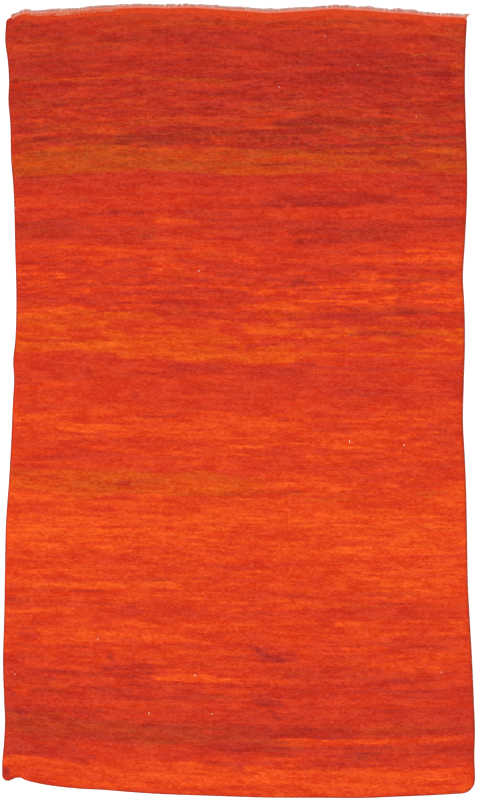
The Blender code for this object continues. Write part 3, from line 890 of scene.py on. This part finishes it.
# Wool wefts packed over the warps: threads 1.8 mm thick side by side across the rug, as bump, and
# dye that wanders in patches 14 mm wide, redder in the left corner, where another yarn was used. The
# wave texture has one band every 0.314 over its scale.
def makeWeftWool():
    material, tree, shader = newMaterial("flat-woven weft wool", 0.92, 0.1, "#ff8a60")
    place = addNode(tree, "ShaderNodeTexCoord").outputs["Object"]
    patch = addNode(
        tree, "ShaderNodeTexNoise", {}, {"Scale": 1000 / 14, "Detail": 4.0, "Roughness": 0.6},
        {"Vector": place},
    ).outputs["Fac"]
    thread = addNode(
        tree, "ShaderNodeTexWave", {"wave_type": "BANDS", "bands_direction": "Y"},
        {"Scale": 0.314 / 0.0018, "Distortion": 2.0, "Detail": 2.0, "Detail Scale": 0.6},
        {"Vector": place},
    ).outputs["Fac"]
    patches = addNode(tree, "ShaderNodeValToRGB", links={"Fac": patch})
    colour = setStops(patches, ("#a02a13", "#ac3015", "#bd3b17", "#c44419"))
    across = addNode(tree, "ShaderNodeSeparateXYZ", links={0: place}).outputs["X"]
    cornerEnds = {1: -0.79, 2: -0.75, 3: 1.0, 4: 0.0}
    corner = addNode(tree, "ShaderNodeMapRange", {}, cornerEnds, {0: across}).outputs[0]
    red = {7: fromHex("#9a261b")}
    dyed = addNode(tree, "ShaderNodeMix", blended, red, {0: corner, 6: colour}).outputs[2]
    # painted shade in the grooves between the weft threads: the dye darkens to 0.92 of itself there
    grooveShade = addNode(tree, "ShaderNodeMapRange", {}, {3: 0.92, 4: 1.0}, {0: thread}).outputs[0]
    shaded = addNode(tree, "ShaderNodeMix", multiplied, {0: 1.0}, {6: dyed, 7: grooveShade}).outputs[2]
    dressWool(tree, shader, shaded, thread, 0.7, 0.7)
    return material


pileWool = makePileWool()
groundWool = makeGroundWool()
backWool = makeBackWool()
overcastWool = makeYarn("overcast wool edge", "#752118", "#8f3020", 4.0)
weftWool = makeWeftWool()
salmonWool = makeYarn("twined salmon wool", "#bc5c44", "#d4785c", 3.0)
warpWool = makeYarn("cut wool warp ends", "#8f5a52", "#b07a6c", 5.0)
rootWool = makeYarn("wool warp ends tinged by the dye", "#a8604c", "#c47b66", 5.0)
paleWool = makeYarn("frayed pale wool", "#b8583c", "#d68a6c", 5.0)
lintWool = makeYarn("white wool lint", "#cfc4b4", "#efe8dc", 2.0)
print("materials made")


tufts = {
    "baseWidth": 1.36,  # shares of the pitch between knots: neighbours grow into each other
    "tipWidth": 0.92,
    "depth": 7.4,  # from a tuft's middle to its feet, over half the pitch between rows
    "lean": 1.6,  # towards the lower end, as the knots were pulled down
    "lowerLean": ((6, 24), (0.45, 1)),  # distances from the end, and shares of the lean there
    "upperLean": ((20, 50), (-0.6, 1)),
    "edgeLean": 0.6,  # outwards, at the sides
    "edgeReach": 18,
    "lowerRoom": 1.5,  # a foot stays this far in from the end
    "upperRoom": 15.5,
    "footDepth": 0.5,  # how far the feet stand in the ground
    "heightSpread": 0.14,
    "runSpread": 0.22,  # whole stretches of a row stand this much higher or lower
    "heightRun": 110,  # how long such a stretch is
    "rowSwing": 2.4,  # how far a row swings up and down the rug
    "swingRun": 90,  # how long one swing is
    "swingEnds": (30, 60),  # it starts at the first distance from an end and is full at the second
    "tipSpread": 1.3,  # how unevenly a tuft's three tips are cut
    "placeSpread": 0.8,
    "twist": 14,  # degrees that a tuft may be turned
    "wear": 0.85,  # how unevenly the tips are worn
    "wearParts": (0.4, 0.9, 0.8),  # of the tuft's own level, the runs and the patches
    "wearRuns": (26, 80),
    "wearPatch": (75, 12),
    "strips": 4,
}


# A fixed random number between minus the spread and the spread.
def evenly(spread, *numbers):
    return spread * 2 * (drawn(*numbers) - 0.5)


# Each tuft is a low mound on a rectangle: a back slope, a front slope and two ends that meet in three
# tips along the row. It leans towards the lower end, turned and moved a little at random, and its
# feet reach under its neighbours, so that no bare ground shows.
def tuftPoints():
    pitch = np.gradient(knotX, axis=1)
    near = knotReach["fromLow"] / mm
    far = knotReach["fromHigh"] / mm
    x = knotX + evenly(tufts["placeSpread"] * mm, knotNumber, rowNumber, 101)
    y = knotY + evenly(tufts["placeSpread"] * mm, knotNumber, rowNumber, 102)
    swing = 2 * (yarnRuns(x, rowNumber, tufts["swingRun"], 109) - 0.5)
    y = y + tufts["rowSwing"] * mm * (swing * np.interp(np.minimum(near, far), tufts["swingEnds"], (0, 1)))
    lean = tufts["lean"] * mm * (0.6 + 0.8 * drawn(knotNumber, rowNumber, 103))
    lean = lean * np.interp(near, *tufts["lowerLean"]) * np.interp(far, *tufts["upperLean"])
    toRight, toLeft = (
        np.interp(knotReach[side] / mm, (0, tufts["edgeReach"]), (1, 0)) for side in ("fromRight", "fromLeft")
    )
    reach = {**knotReach, "fromLow": knotReach["fromLow"] - lean, "fromHigh": knotReach["fromHigh"] + lean}
    tip = pileTop(x, y - lean, reach)
    tip = tip + tufts["runSpread"] * mm * 2 * (yarnRuns(x, rowNumber, tufts["heightRun"], 107) - 0.5)
    halfBase = pitch * tufts["baseWidth"] / 2
    halfTip = pitch * tufts["tipWidth"] / 2
    front = np.minimum(tufts["depth"], near - tufts["lowerRoom"]) * mm
    back = np.minimum(tufts["depth"], far - tufts["upperRoom"]) * mm
    shift = (toRight - toLeft) * tufts["edgeLean"] * mm
    turn = np.radians(evenly(tufts["twist"], knotNumber, rowNumber, 105))[..., None]
    bent = [evenly(tufts["tipSpread"] * mm, knotNumber, rowNumber, salt) for salt in (110, 111, 112)]
    rise = [evenly(tufts["heightSpread"] * mm, knotNumber, rowNumber, salt) for salt in (113, 114, 115)]
    localX = np.stack([-halfBase, halfBase, halfBase, -halfBase, -halfTip, bent[0] * 0.5, halfTip], -1)
    localY = np.stack([-front, -front, back, back, *bent], -1)
    isTip = np.array([0, 0, 0, 0, 1, 1, 1])
    pointX = x[..., None] + localX * np.cos(turn) - localY * np.sin(turn) + shift[..., None] * isTip
    pointY = y[..., None] + localX * np.sin(turn) + localY * np.cos(turn) - lean[..., None] * isTip
    foot = groundTop(pointX, pointY, reachOf(pointX, pointY)) - tufts["footDepth"] * mm
    rises = np.stack([0 * x] * 4 + rise, -1)
    pointZ = np.where(isTip, tip[..., None] + rises, foot)
    spots = [knotReach[side][..., None] for side in ("fromLeft", "fromRight", "fromLow", "fromHigh")]
    pointX, pointY = roundCorners(pointX, pointY, *spots)
    pointZ = pointZ + cornerLift(pointX, pointY)
    return np.stack([pointX, pointY, pointZ], -1)


# The mean of each knot's level and that of the knot some rows down and some knots to the right.
def shared(level, down, right):
    padded = np.pad(level, 1, mode="edge")
    return (level + padded[1 + down:1 + down + rowCount, 1 + right:1 + right + knotCount]) / 2


# A level for each of a tuft's seven points: the knot's own at its middle tip, and the mean with its
# neighbours at the others, so that the wool's colour runs on from tuft to tuft. The two rows that
# meet in a furrow share its streaks.
def mingled(level, streak):
    left, right = shared(level, 0, -1), shared(level, 0, 1)
    above = np.concatenate([streak[:1], streak[:-1]])
    return np.stack([
        shared(left, 1, 0) + streak, shared(right, 1, 0) + streak,
        shared(right, -1, 0) + above, shared(left, -1, 0) + above,
        left, level, right,
    ], -1)


# Streaks of the wool in the furrows: runs of two lengths that grow with the place's unrest, stronger
# in the upper part, where painted shade also darkens the furrows.
def furrowStreaks(salt):
    furrows = streaks["furrows"]
    long, short = furrows["runs"]
    runs = yarnRuns(knotX, rowNumber, long, salt) + yarnRuns(knotX, rowNumber, short, salt + 3) - 1
    upper = np.interp(knotPhotoY, furrows["upperEnds"], (1, 0))
    streak = furrows["gain"] * runs * (1 + furrows["upperGain"] * upper) - furrows["upperPaintedShade"] * upper
    return furrows["deviation"] * knotUnrest * streak


# How worn and pale each tuft's tip is, 0 to 1: a part of its own, short runs and soft patches.
def wornTips(salt):
    short, long = tufts["wearRuns"]
    parts = (
        drawn(knotNumber, rowNumber, salt) - 0.5,
        yarnRuns(knotX, rowNumber, short, salt + 2) + yarnRuns(knotX, rowNumber, long, salt + 4) - 1,
        softPatches(knotX, knotY, *tufts["wearPatch"], salt + 6) - 0.5,
    )
    mixed = sum(share * part for share, part in zip(tufts["wearParts"], parts))
    return np.clip(0.5 + tufts["wear"] * mixed, 0, 1)


# Splits the knots into strips along the rug, and makes each a mesh of closed tufts. Each tuft has a
# square of its own in the strip's map, with its foot, back, front and ends laid out in it.
def makePile():
    points = tuftPoints()
    tones = mingled(knotTone, furrowStreaks(411))
    golds = mingled(knotGold, 0 * knotGold)
    worns = mingled(wornTips(401), wornTips(421) - 0.5)
    order = np.array([0, 3, 2, 1, 2, 3, 4, 5, 6, 0, 1, 6, 5, 4, 3, 0, 4, 1, 2, 6])
    sizes = np.array([4, 5, 5, 3, 3])
    square = np.array([
        (0.04, 0.82), (0.04, 0.96), (0.58, 0.96), (0.58, 0.82),
        (0.96, 0.04), (0.04, 0.04), (0.04, 0.44), (0.50, 0.44), (0.96, 0.44),
        (0.04, 0.78), (0.96, 0.78), (0.96, 0.49), (0.50, 0.49), (0.04, 0.49),
        (0.62, 0.82), (0.76, 0.82), (0.69, 0.96), (0.80, 0.82), (0.94, 0.82), (0.87, 0.96),
    ])
    strips = []
    for number, columns in enumerate(np.array_split(np.arange(knotCount), tufts["strips"])):
        own = points[:, columns].reshape(-1, 7, 3)
        count = len(own)
        corners = (np.arange(count)[:, None] * 7 + order).ravel()
        squares = math.ceil(math.sqrt(count))
        cell = np.stack([np.arange(count) % squares, np.arange(count) // squares], -1)
        uv = (cell[:, None, :] + square) / squares
        strip = newPiece(
            f"pileStrip{number + 1}", own.reshape(-1, 3), corners, np.tile(sizes, count), [pileWool],
            uv.reshape(-1, 2), sharpAngle=75,
        )
        for name, levels in (("tone", tones), ("gold", golds), ("worn", worns)):
            setLevel(strip, name, levels[:, columns])
        # root level: 0 at the feet, 1 at the tips, for the painted shade at the feet
        setLevel(strip, "root", np.tile([0, 0, 0, 0, 1, 1, 1], count))
        strips.append(strip)
    return strips


pileStrips = makePile()
print("pile", len(pileStrips), "strips")


ground = {
    "columns": 84,
    "rows": 150,
    "edge": (1.6, 5, 12),  # stations in from each edge
    "upperEdge": (1.2, 4, 17, 22, 27, 33, 40, 48, 56),
}


# Places along one direction: shares of the way, with the stations near both edges added.
def stations(first, inside, last):
    shares = np.concatenate([np.zeros(len(first)), np.arange(1, inside) / inside, np.ones(len(last))])
    added = np.concatenate([first, np.zeros(inside - 1), -np.array(last[::-1])]) * mm
    return shares, added


# The level of the nearest knot for each place on the rug.
def nearestKnot(values, x, y):
    shareX = np.clip((x - leftX(y)) / (rightX(y) - leftX(y)), 0, 0.9999)
    shareY = np.clip((upperY(x) - y) / (upperY(x) - lowerY(x)), 0, 0.9999)
    return values[(shareY * rowCount).astype(int), (shareX * knotCount).astype(int)]


# The cloth under the tufts: a closed sheet from the feet down to the floor, on a grid of
# stations that stand closer at the edges.
def makeGround():
    shareX, addX = stations(ground["edge"], ground["columns"], ground["edge"])
    shareY, addY = stations(ground["edge"], ground["rows"], ground["upperEdge"])
    x, y, reach = rugPlace(shareX[None, :], addX[None, :], shareY[:, None], addY[:, None])
    lift = cornerLift(x, y)
    top = groundTop(x, y, reach)
    upper = np.stack([x, y, top + lift], -1)
    lower = np.stack([x, y, lift], -1)
    cloth = closedSheet("groundCloth", upper, lower, [groundWool, backWool])
    for name, values in (("tone", knotTone), ("gold", knotGold)):
        near = nearestKnot(values, x, y).ravel()
        setLevel(cloth, name, np.tile(near, 2))
    setLevel(cloth, "worn", np.full(len(near) * 2, 0.5))
    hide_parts("rug_body")
    return cloth


groundCloth = makeGround()
print("ground cloth made")


overcast = {
    "inset": 1.6,
    "halfWidth": 2.6,
    "halfHeight": 2.9,
    "turnPitch": 6.0,
    "ridge": 0.45,
    "slack": 0.06,  # how unevenly the turns are pulled tight, as a share
    "taper": (5, 0.35),  # both ends taper over this length to this share
    "stationStep": 2.0,
    "around": 6,
    "returnLeft": 19,  # how far it runs on along the upper end, past each upper corner
    "returnRight": 3,
}


# The edge's middle line: from the upper end down the left side, along the lower end, up the right
# side and round to the upper end again, as straight legs between corners. Each corner is a share of
# the way across with a distance to add, and the same along.
def overcastPath():
    inset, returnLeft, returnRight = (overcast[name] * mm for name in ("inset", "returnLeft", "returnRight"))
    corners = np.array([
        (0, returnLeft, 1, -inset), (0, inset, 1, -inset), (0, inset, 0, inset),
        (1, -inset, 0, inset), (1, -inset, 1, -inset), (1, -returnRight, 1, -inset),
    ])
    t = np.linspace(0, 1, 6000)[:, None]
    legs = [start * (1 - t) + end * t for start, end in zip(corners[:-1], corners[1:])]
    shareX, addX, shareY, addY = np.concatenate(legs).T
    x, y, reach = rugPlace(shareX, addX, shareY, addY)
    along = np.concatenate([[0], np.cumsum(np.hypot(np.diff(x), np.diff(y)))])
    keep = np.concatenate([[True], np.diff(along) > 1e-7])
    count = int(along[-1] / (overcast["stationStep"] * mm))
    even = np.linspace(0, along[-1], count)
    return np.interp(even, along[keep], x[keep]), np.interp(even, along[keep], y[keep]), even


# An oval section carried along the edge, swelling once each turn of the yarn: the swelling runs
# round the section as it goes along, so each turn lies aslant.
def makeOvercast():
    x, y, even = overcastPath()
    z = overcast["halfHeight"] * mm + cornerLift(x, y)
    path = np.stack([x, y, z], -1)
    around = overcast["around"]
    rings = ringsAlong(path[None], np.full((1, len(x)), mm), around)[0] - path[:, None, :]
    turn = 2 * math.pi * np.arange(around) / around
    turns = even[:, None] / (overcast["turnPitch"] * mm)
    wrap = np.abs(np.sin(math.pi * (turns + turn / (2 * math.pi))))
    slack = 1 + overcast["slack"] * (drawn(turns.astype(int), 3) - 0.5)
    size = 1 - overcast["ridge"] / overcast["halfWidth"] * (1 - wrap) * slack
    taperLength, taperTo = overcast["taper"]
    fromEnd = np.minimum(even, even[-1] - even)
    size = size * np.interp(fromEnd, (0, taperLength * mm), (taperTo, 1))[:, None]
    rings = rings * size[..., None] * (overcast["halfWidth"], overcast["halfWidth"], overcast["halfHeight"])
    return strandPiece("overcastEdge", (path[:, None, :] + rings)[None], [overcastWool])


overcastEdge = makeOvercast()
print("edge overcast")


flatWeave = {
    "ribs": 250,
    "stationsPerRib": 3,
    "wefts": 9,
    "inner": 24,  # it runs this far in under the pile, and past the edge by outer
    "outer": 0.9,
    "side": 3,  # in from the sides
    "height": 4.7,
    "under": 2.2,
    "relief": 0.3,
}


# Weft-faced plain weave: each weft rises over one rib and dips at the next, and its neighbour does
# the reverse, so the height is a cosine across whose sign changes from row to row.
def makeFlatWeave():
    across = np.linspace(0, 1, flatWeave["ribs"] * flatWeave["stationsPerRib"] + 1)[None, :]
    along = np.linspace(0, 1, flatWeave["wefts"])[:, None]
    addY = -(flatWeave["inner"] * (1 - along) - flatWeave["outer"] * along) * mm
    x, y, reach = rugPlace(across, flatWeave["side"] * mm * (1 - 2 * across), 1.0, addY)
    sign = np.where(np.arange(flatWeave["wefts"]) % 2, -1, 1)[:, None]
    rise = flatWeave["relief"] * mm * np.cos(2 * math.pi * across * flatWeave["ribs"]) * sign
    edge = np.interp(along, (0.9, 1), (1, 0.72))
    upper = np.stack([x, y, (flatWeave["height"] * mm + rise) * edge], -1)
    lower = np.stack([x, y, flatWeave["under"] * mm + 0 * x], -1)
    return closedSheet("flatWovenEnd", upper, lower, [weftWool])


flatWovenEnd = makeFlatWeave()
print("flat-woven end made")


twining = {
    "clearance": 0.3,
    "width": 7,
    "strandRadius": 1.6,
    "swing": 1.75,  # how far each strand swings to the side
    "rise": 0.65,
    "turnLength": 15,
    "stations": 815,  # 2 mm apart
    "leftStart": 16,
    "rightEnd": 1.5,
}

fringe = {
    "count": 498,  # every second warp of the rug, 3.25 mm apart
    "reach": 14.0,  # past the twined strip
    "root": 8.0,  # the ends start this far inside the strip's outer side, under the twining
    # longer tufts: places from the left, and how much further they reach
    "longTufts": (
        (88, 6), (165, 3), (190, 3), (215, 3), (833, 4), (938, 5), (1200, 2), (1288, 5), (1385, 4),
        (1437, 5), (1630, 6),
    ),
    "tuftSpread": 14,
    "gatherSpread": 20,
    "clump": 3.6,  # how unevenly the clumps reach
    "fibres": 6,  # loose fibres to each cut end
    # of the cut ends and their fibres: least share of the reach and how much it varies, how far the
    # roots are scattered, how far they spread to the sides, least radius and how much it varies
    "endSizes": (0.52, 0.16, 0.8, 3.2, 0.9, 0.4),
    "fibreSizes": (0.6, 0.36, 1.6, 6, 0.3, 0.18),
    "lastSpread": (2, 14),  # the last ends lean out to the right by so much
    "lastCount": 7,
    # the worn stretch: places from the left, and how many loose yarns lie about each
    "fray": (
        (30, 4), (112, 14), (146, 10), (190, 14), (212, 16), (232, 16), (252, 14), (290, 14), (330, 16),
        (362, 16), (390, 10),
    ),
    "fraySpread": 12,
    "frayFrom": 24,  # none lies further left than this
    "deepFray": (222, 20),  # where they reach furthest down over the weave, and how wide that is
}


# The middle line of the twined strip, just past the woven edge.
def twineLine(count):
    start = leftX(upperY(-halfWidth)) + twining["leftStart"] * mm
    end = rightX(upperY(halfWidth)) - twining["rightEnd"] * mm
    x = np.linspace(start, end, count)
    y = upperY(x) + (twining["clearance"] + twining["width"] / 2) * mm
    return x, y


# Two strands wound about the line and each other: each swings to the side as a cosine and up as a
# sine of the way along, half a turn apart.
def makeTwining():
    x, y = twineLine(twining["stations"])
    turn = 2 * math.pi * x / (twining["turnLength"] * mm)
    paths = []
    for lead in (0, math.pi):
        side = twining["swing"] * mm * np.cos(turn + lead)
        z = (twining["strandRadius"] + twining["rise"] * (1 + np.sin(turn + lead))) * mm
        paths.append(np.stack([x, y + side, z], -1))
    thick = twining["strandRadius"] * mm * (1 + 0.1 * np.sin(x / (23 * mm)) * np.sin(x / (7.3 * mm)))
    rings = ringsAlong(np.array(paths), np.stack([thick, thick]), 6)
    return strandPiece("twinedStrip", rings, [salmonWool])


twinedStrip = makeTwining()
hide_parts("twined_fringe")


def bell(at, place, spread):
    return np.exp(-(((at - place) / spread) ** 2))


# How far the cut ends reach at a place: a short length, a few waves, clumps, and the longer tufts.
def warpReach(x):
    fromLeft = x / mm + rug["width"] / 2
    clumps = softPatches(x, 0 * x, 13, 50, 251) - 0.5
    waves = 0.8 * np.sin(fromLeft / 9.1) + 0.7 * np.sin(fromLeft / 23 + 1)
    reach = fringe["reach"] + fringe["clump"] * clumps + waves
    for place, extra in fringe["longTufts"]:
        reach = reach + extra * bell(fromLeft, place, fringe["tuftSpread"])
    return reach * mm


# Thin tapered strands from the twining outwards. Each starts in the twining, bends to a side of its
# own and settles on the floor: y grows evenly, x with the square of the way, and z falls away.
def makeWarpEnds(name, roots, lengths, spreads, radii, stationCount, around, finish, salt, curl):
    number = np.arange(len(roots))
    t = np.linspace(0, 1, stationCount)[None, :]
    x0 = roots[:, None]
    y0 = (upperY(roots) + (twining["clearance"] + twining["width"] - fringe["root"]) * mm)[:, None]
    waves, phase = (1 + 1.5 * drawn(number, salt))[:, None], drawn(number, salt + 1)[:, None]
    wave = np.sin(2 * math.pi * (t * waves + phase))
    x = x0 + spreads[:, None] * t**1.6 + curl * mm * wave * t
    y = y0 + lengths[:, None] * t - 0.18 * np.abs(spreads[:, None]) * t**2
    start = 1.0 + 1.0 * drawn(number, salt + 2)[:, None]
    z = (0.35 + start * (1 - t) + 0.5 * np.abs(wave) * t * (1 - t)) * mm
    radius = radii[:, None] * mm * (1 - 0.65 * t**2)
    paths = np.stack([x, y, z + 0 * x], -1)
    return strandPiece(name, ringsAlong(paths, radius, around), [finish])


# The cut ends, then the loose fibres round each of them. Both draw together in the longer tufts, and
# the last seven ends spread out to the right.
def makeFringe():
    least, varied, scatter, spread, thin, thick = fringe["endSizes"]
    roots = twineLine(fringe["count"])[0]
    number = np.arange(len(roots))
    roots = roots + evenly(scatter * mm, number, 201)
    share = least + varied * drawn(number, 202)
    fromLeft = roots / mm + rug["width"] / 2
    gather = sum(bell(fromLeft, place, fringe["gatherSpread"]) for place, extra in fringe["longTufts"])
    spreads = evenly(spread * mm, number, 203) * (1 - 0.5 * gather)
    spreads[-fringe["lastCount"]:] += np.linspace(*fringe["lastSpread"], fringe["lastCount"]) * mm
    reach = warpReach(roots)
    lengths = reach * share + fringe["root"] * mm
    radii = thin + thick * drawn(number, 204)
    ends = makeWarpEnds("warpEnds", roots, lengths, spreads, radii, 5, 5, rootWool, 210, 0.5)

    least, varied, scatter, spread, thin, thick = fringe["fibreSizes"]
    roots, reach, spreads = (np.repeat(values, fringe["fibres"]) for values in (roots, reach, spreads))
    number = np.arange(len(roots))
    roots = roots + evenly(scatter * mm, number, 221)
    lengths = reach * (least + varied * drawn(number, 222)) + fringe["root"] * mm
    spreads = spreads + evenly(spread * mm, number, 223)
    radii = thin + thick * drawn(number, 224)
    fibres = makeWarpEnds("warpFibres", roots, lengths, spreads, radii, 4, 3, warpWool, 230, 1.6)
    return [ends, fibres]


# Loose pale yarns over the worn stretch of the flat weave, in thinning clusters. Each one's heading
# turns evenly and sways as it goes, and its path is the sum of 13 short steps along the heading. How
# far it falls is held under a limit of its own by a hyperbolic tangent.
def makeFrayedYarns():
    middles, counts = np.array(fringe["fray"]).T
    place = np.repeat(middles, counts)
    number = np.arange(len(place))
    scatter = evenly(1.0, number, 240) + evenly(1.0, number, 241)
    x0 = np.maximum(place + fringe["fraySpread"] * scatter, fringe["frayFrom"]) * mm - halfWidth
    t = np.linspace(0, 1, 13)[None, :]
    length = (9 + 20 * drawn(number, 242) ** 1.5)[:, None] * mm
    bend = evenly(1.3 * math.pi, number, 243)[:, None]
    phase = drawn(number, 245)[:, None]
    sway = (0.4 + 0.9 * drawn(number, 244))[:, None] * np.sin(2 * math.pi * (1.7 * t + phase))
    heading = -math.pi / 2 + evenly(1.5, number, 246)[:, None] + bend * t + sway
    x = x0[:, None] + np.cumsum(np.cos(heading), axis=1) * length / 13
    limit = (4 + 6 * drawn(number, 250) + 7 * bell(place, *fringe["deepFray"]))[:, None] * mm
    fall = limit * np.tanh(np.cumsum(np.sin(heading), axis=1) * length / 13 / limit)
    y = upperY(x) + (2 - 4 * drawn(number, 247)[:, None]) * mm + np.minimum(fall, 2 * mm)
    z = (4.9 + (0.4 + 1.1 * drawn(number, 248)[:, None]) * np.sin(math.pi * t)) * mm
    radius = (0.5 + 0.4 * drawn(number, 249))[:, None] * mm * np.interp(t, (0, 0.1, 0.8, 1), (0.8, 1, 1, 0.4))
    paths = np.stack([x, y, z], -1)
    return strandPiece("frayedYarns", ringsAlong(paths, radius, 4), [paleWool])


warpPieces = makeFringe()
frayedYarns = makeFrayedYarns()
print("fringe made")


lint = {
    # places in the photograph, length across and along in mm
    "specks": (
        (358, 65, 3, 2), (325, 36, 3, 2), (279, 87, 3, 3), (416, 117, 3, 2), (16, 208, 3, 3),
        (199, 271, 4, 3), (349.5, 441.5, 2, 10), (404, 445, 4, 3), (98, 639, 3, 3), (195, 675, 4, 4),
        (15, 674, 3, 3), (441, 672, 3, 3), (149, 713, 4, 4), (212, 714, 3, 3),
    ),
    "rows": 6,
    "around": 8,
}


# Small matted tufts: a rounded lump on a sphere's latitudes and longitudes, pushed in and out by
# waves round it, lying on the tips of the pile.
def makeLint():
    places = np.array(lint["specks"], float)
    x = (places[:, 0] - photoMiddle[0]) * step
    y = (photoMiddle[1] - places[:, 1]) * step
    z = pileTop(x, y, reachOf(x, y)) + 0.2 * mm
    rise = np.linspace(-0.46 * math.pi, 0.46 * math.pi, lint["rows"])[None, :, None]
    turn = (2 * math.pi * np.arange(lint["around"]) / lint["around"])[None, None, :]
    number = np.arange(len(x))[:, None, None]
    rough = 1 + 0.25 * np.sin(3 * turn + 6 * drawn(number, 301))
    rough = rough + 0.2 * np.sin(2 * rise * 3 + 6 * drawn(number, 302))
    alongX = places[:, 2, None, None] * mm / 2 * np.cos(rise) * np.cos(turn) * rough
    alongY = places[:, 3, None, None] * mm / 2 * np.cos(rise) * np.sin(turn) * rough
    up = 1.1 * mm * np.sin(rise) * (0.8 + 0.2 * rough)
    rings = np.stack([x[:, None, None] + alongX, y[:, None, None] + alongY, z[:, None, None] + up], -1)
    return strandPiece("whiteLint", rings, [lintWool])


whiteLint = makeLint()


studio = {
    "floor": 50,  # metres
    "floorDrop": 0.0004,  # the floor lies this far under the rug
    "ambient": 1.55,
    "sun": 1.3,
    "sunHeight": 48,
    "sunFrom": 64,
    "sunSoftness": 24,
    "lens": 100,
    "sensor": 36,
    "focus": 8,  # the height, in mm, at which a pixel is one step
}


# Pale matt board, large enough to fill every view.
def makeFloor():
    half, z = studio["floor"] / 2, -studio["floorDrop"]
    points = [(-half, -half, z), (half, -half, z), (half, half, z), (-half, half, z)]
    mesh = bpy.data.meshes.new("floor")
    mesh.from_pydata(points, [], [(0, 1, 2, 3)])
    material, tree, shader = newMaterial("pale matt floor", 0.9)
    shader.inputs["Base Color"].default_value = fromHex("#f3f2f0")
    mesh.materials.append(material)
    floor = bpy.data.objects.new("floor", mesh)
    bpy.context.scene.collection.objects.link(floor)


# Even light from all round, and a soft sun from the upper left for the shade beside the folds.
def makeLight():
    world = bpy.data.worlds.new("soft studio")
    world.use_nodes = True
    background = world.node_tree.nodes["Background"]
    background.inputs["Color"].default_value = (1, 1, 1, 1)
    background.inputs["Strength"].default_value = studio["ambient"]
    bpy.context.scene.world = world
    sun = bpy.data.lights.new("window light", "SUN")
    sun.energy = studio["sun"]
    sun.angle = math.radians(studio["sunSoftness"])
    lamp = bpy.data.objects.new("window light", sun)
    lamp.rotation_euler = (math.radians(90 - studio["sunHeight"]), 0, math.radians(180 + studio["sunFrom"]))
    bpy.context.scene.collection.objects.link(lamp)


# Straight above with a long lens. It stands off by the photograph's height in steps, times the lens
# over the sensor, so that one pixel is one step on the rug.
def makeCamera():
    lens = bpy.data.cameras.new("camera")
    lens.lens = studio["lens"]
    lens.sensor_width = studio["sensor"]
    camera = bpy.data.objects.new("camera", lens)
    distance = photoHeight * step * studio["lens"] / studio["sensor"]
    camera.location = (0, (photoMiddle[1] - photoHeight / 2) * step, distance + studio["focus"] * mm)
    bpy.context.scene.collection.objects.link(camera)
    bpy.context.scene.camera = camera


makeFloor()
makeLight()
makeCamera()
bpy.context.scene.view_settings.view_transform = "Standard"
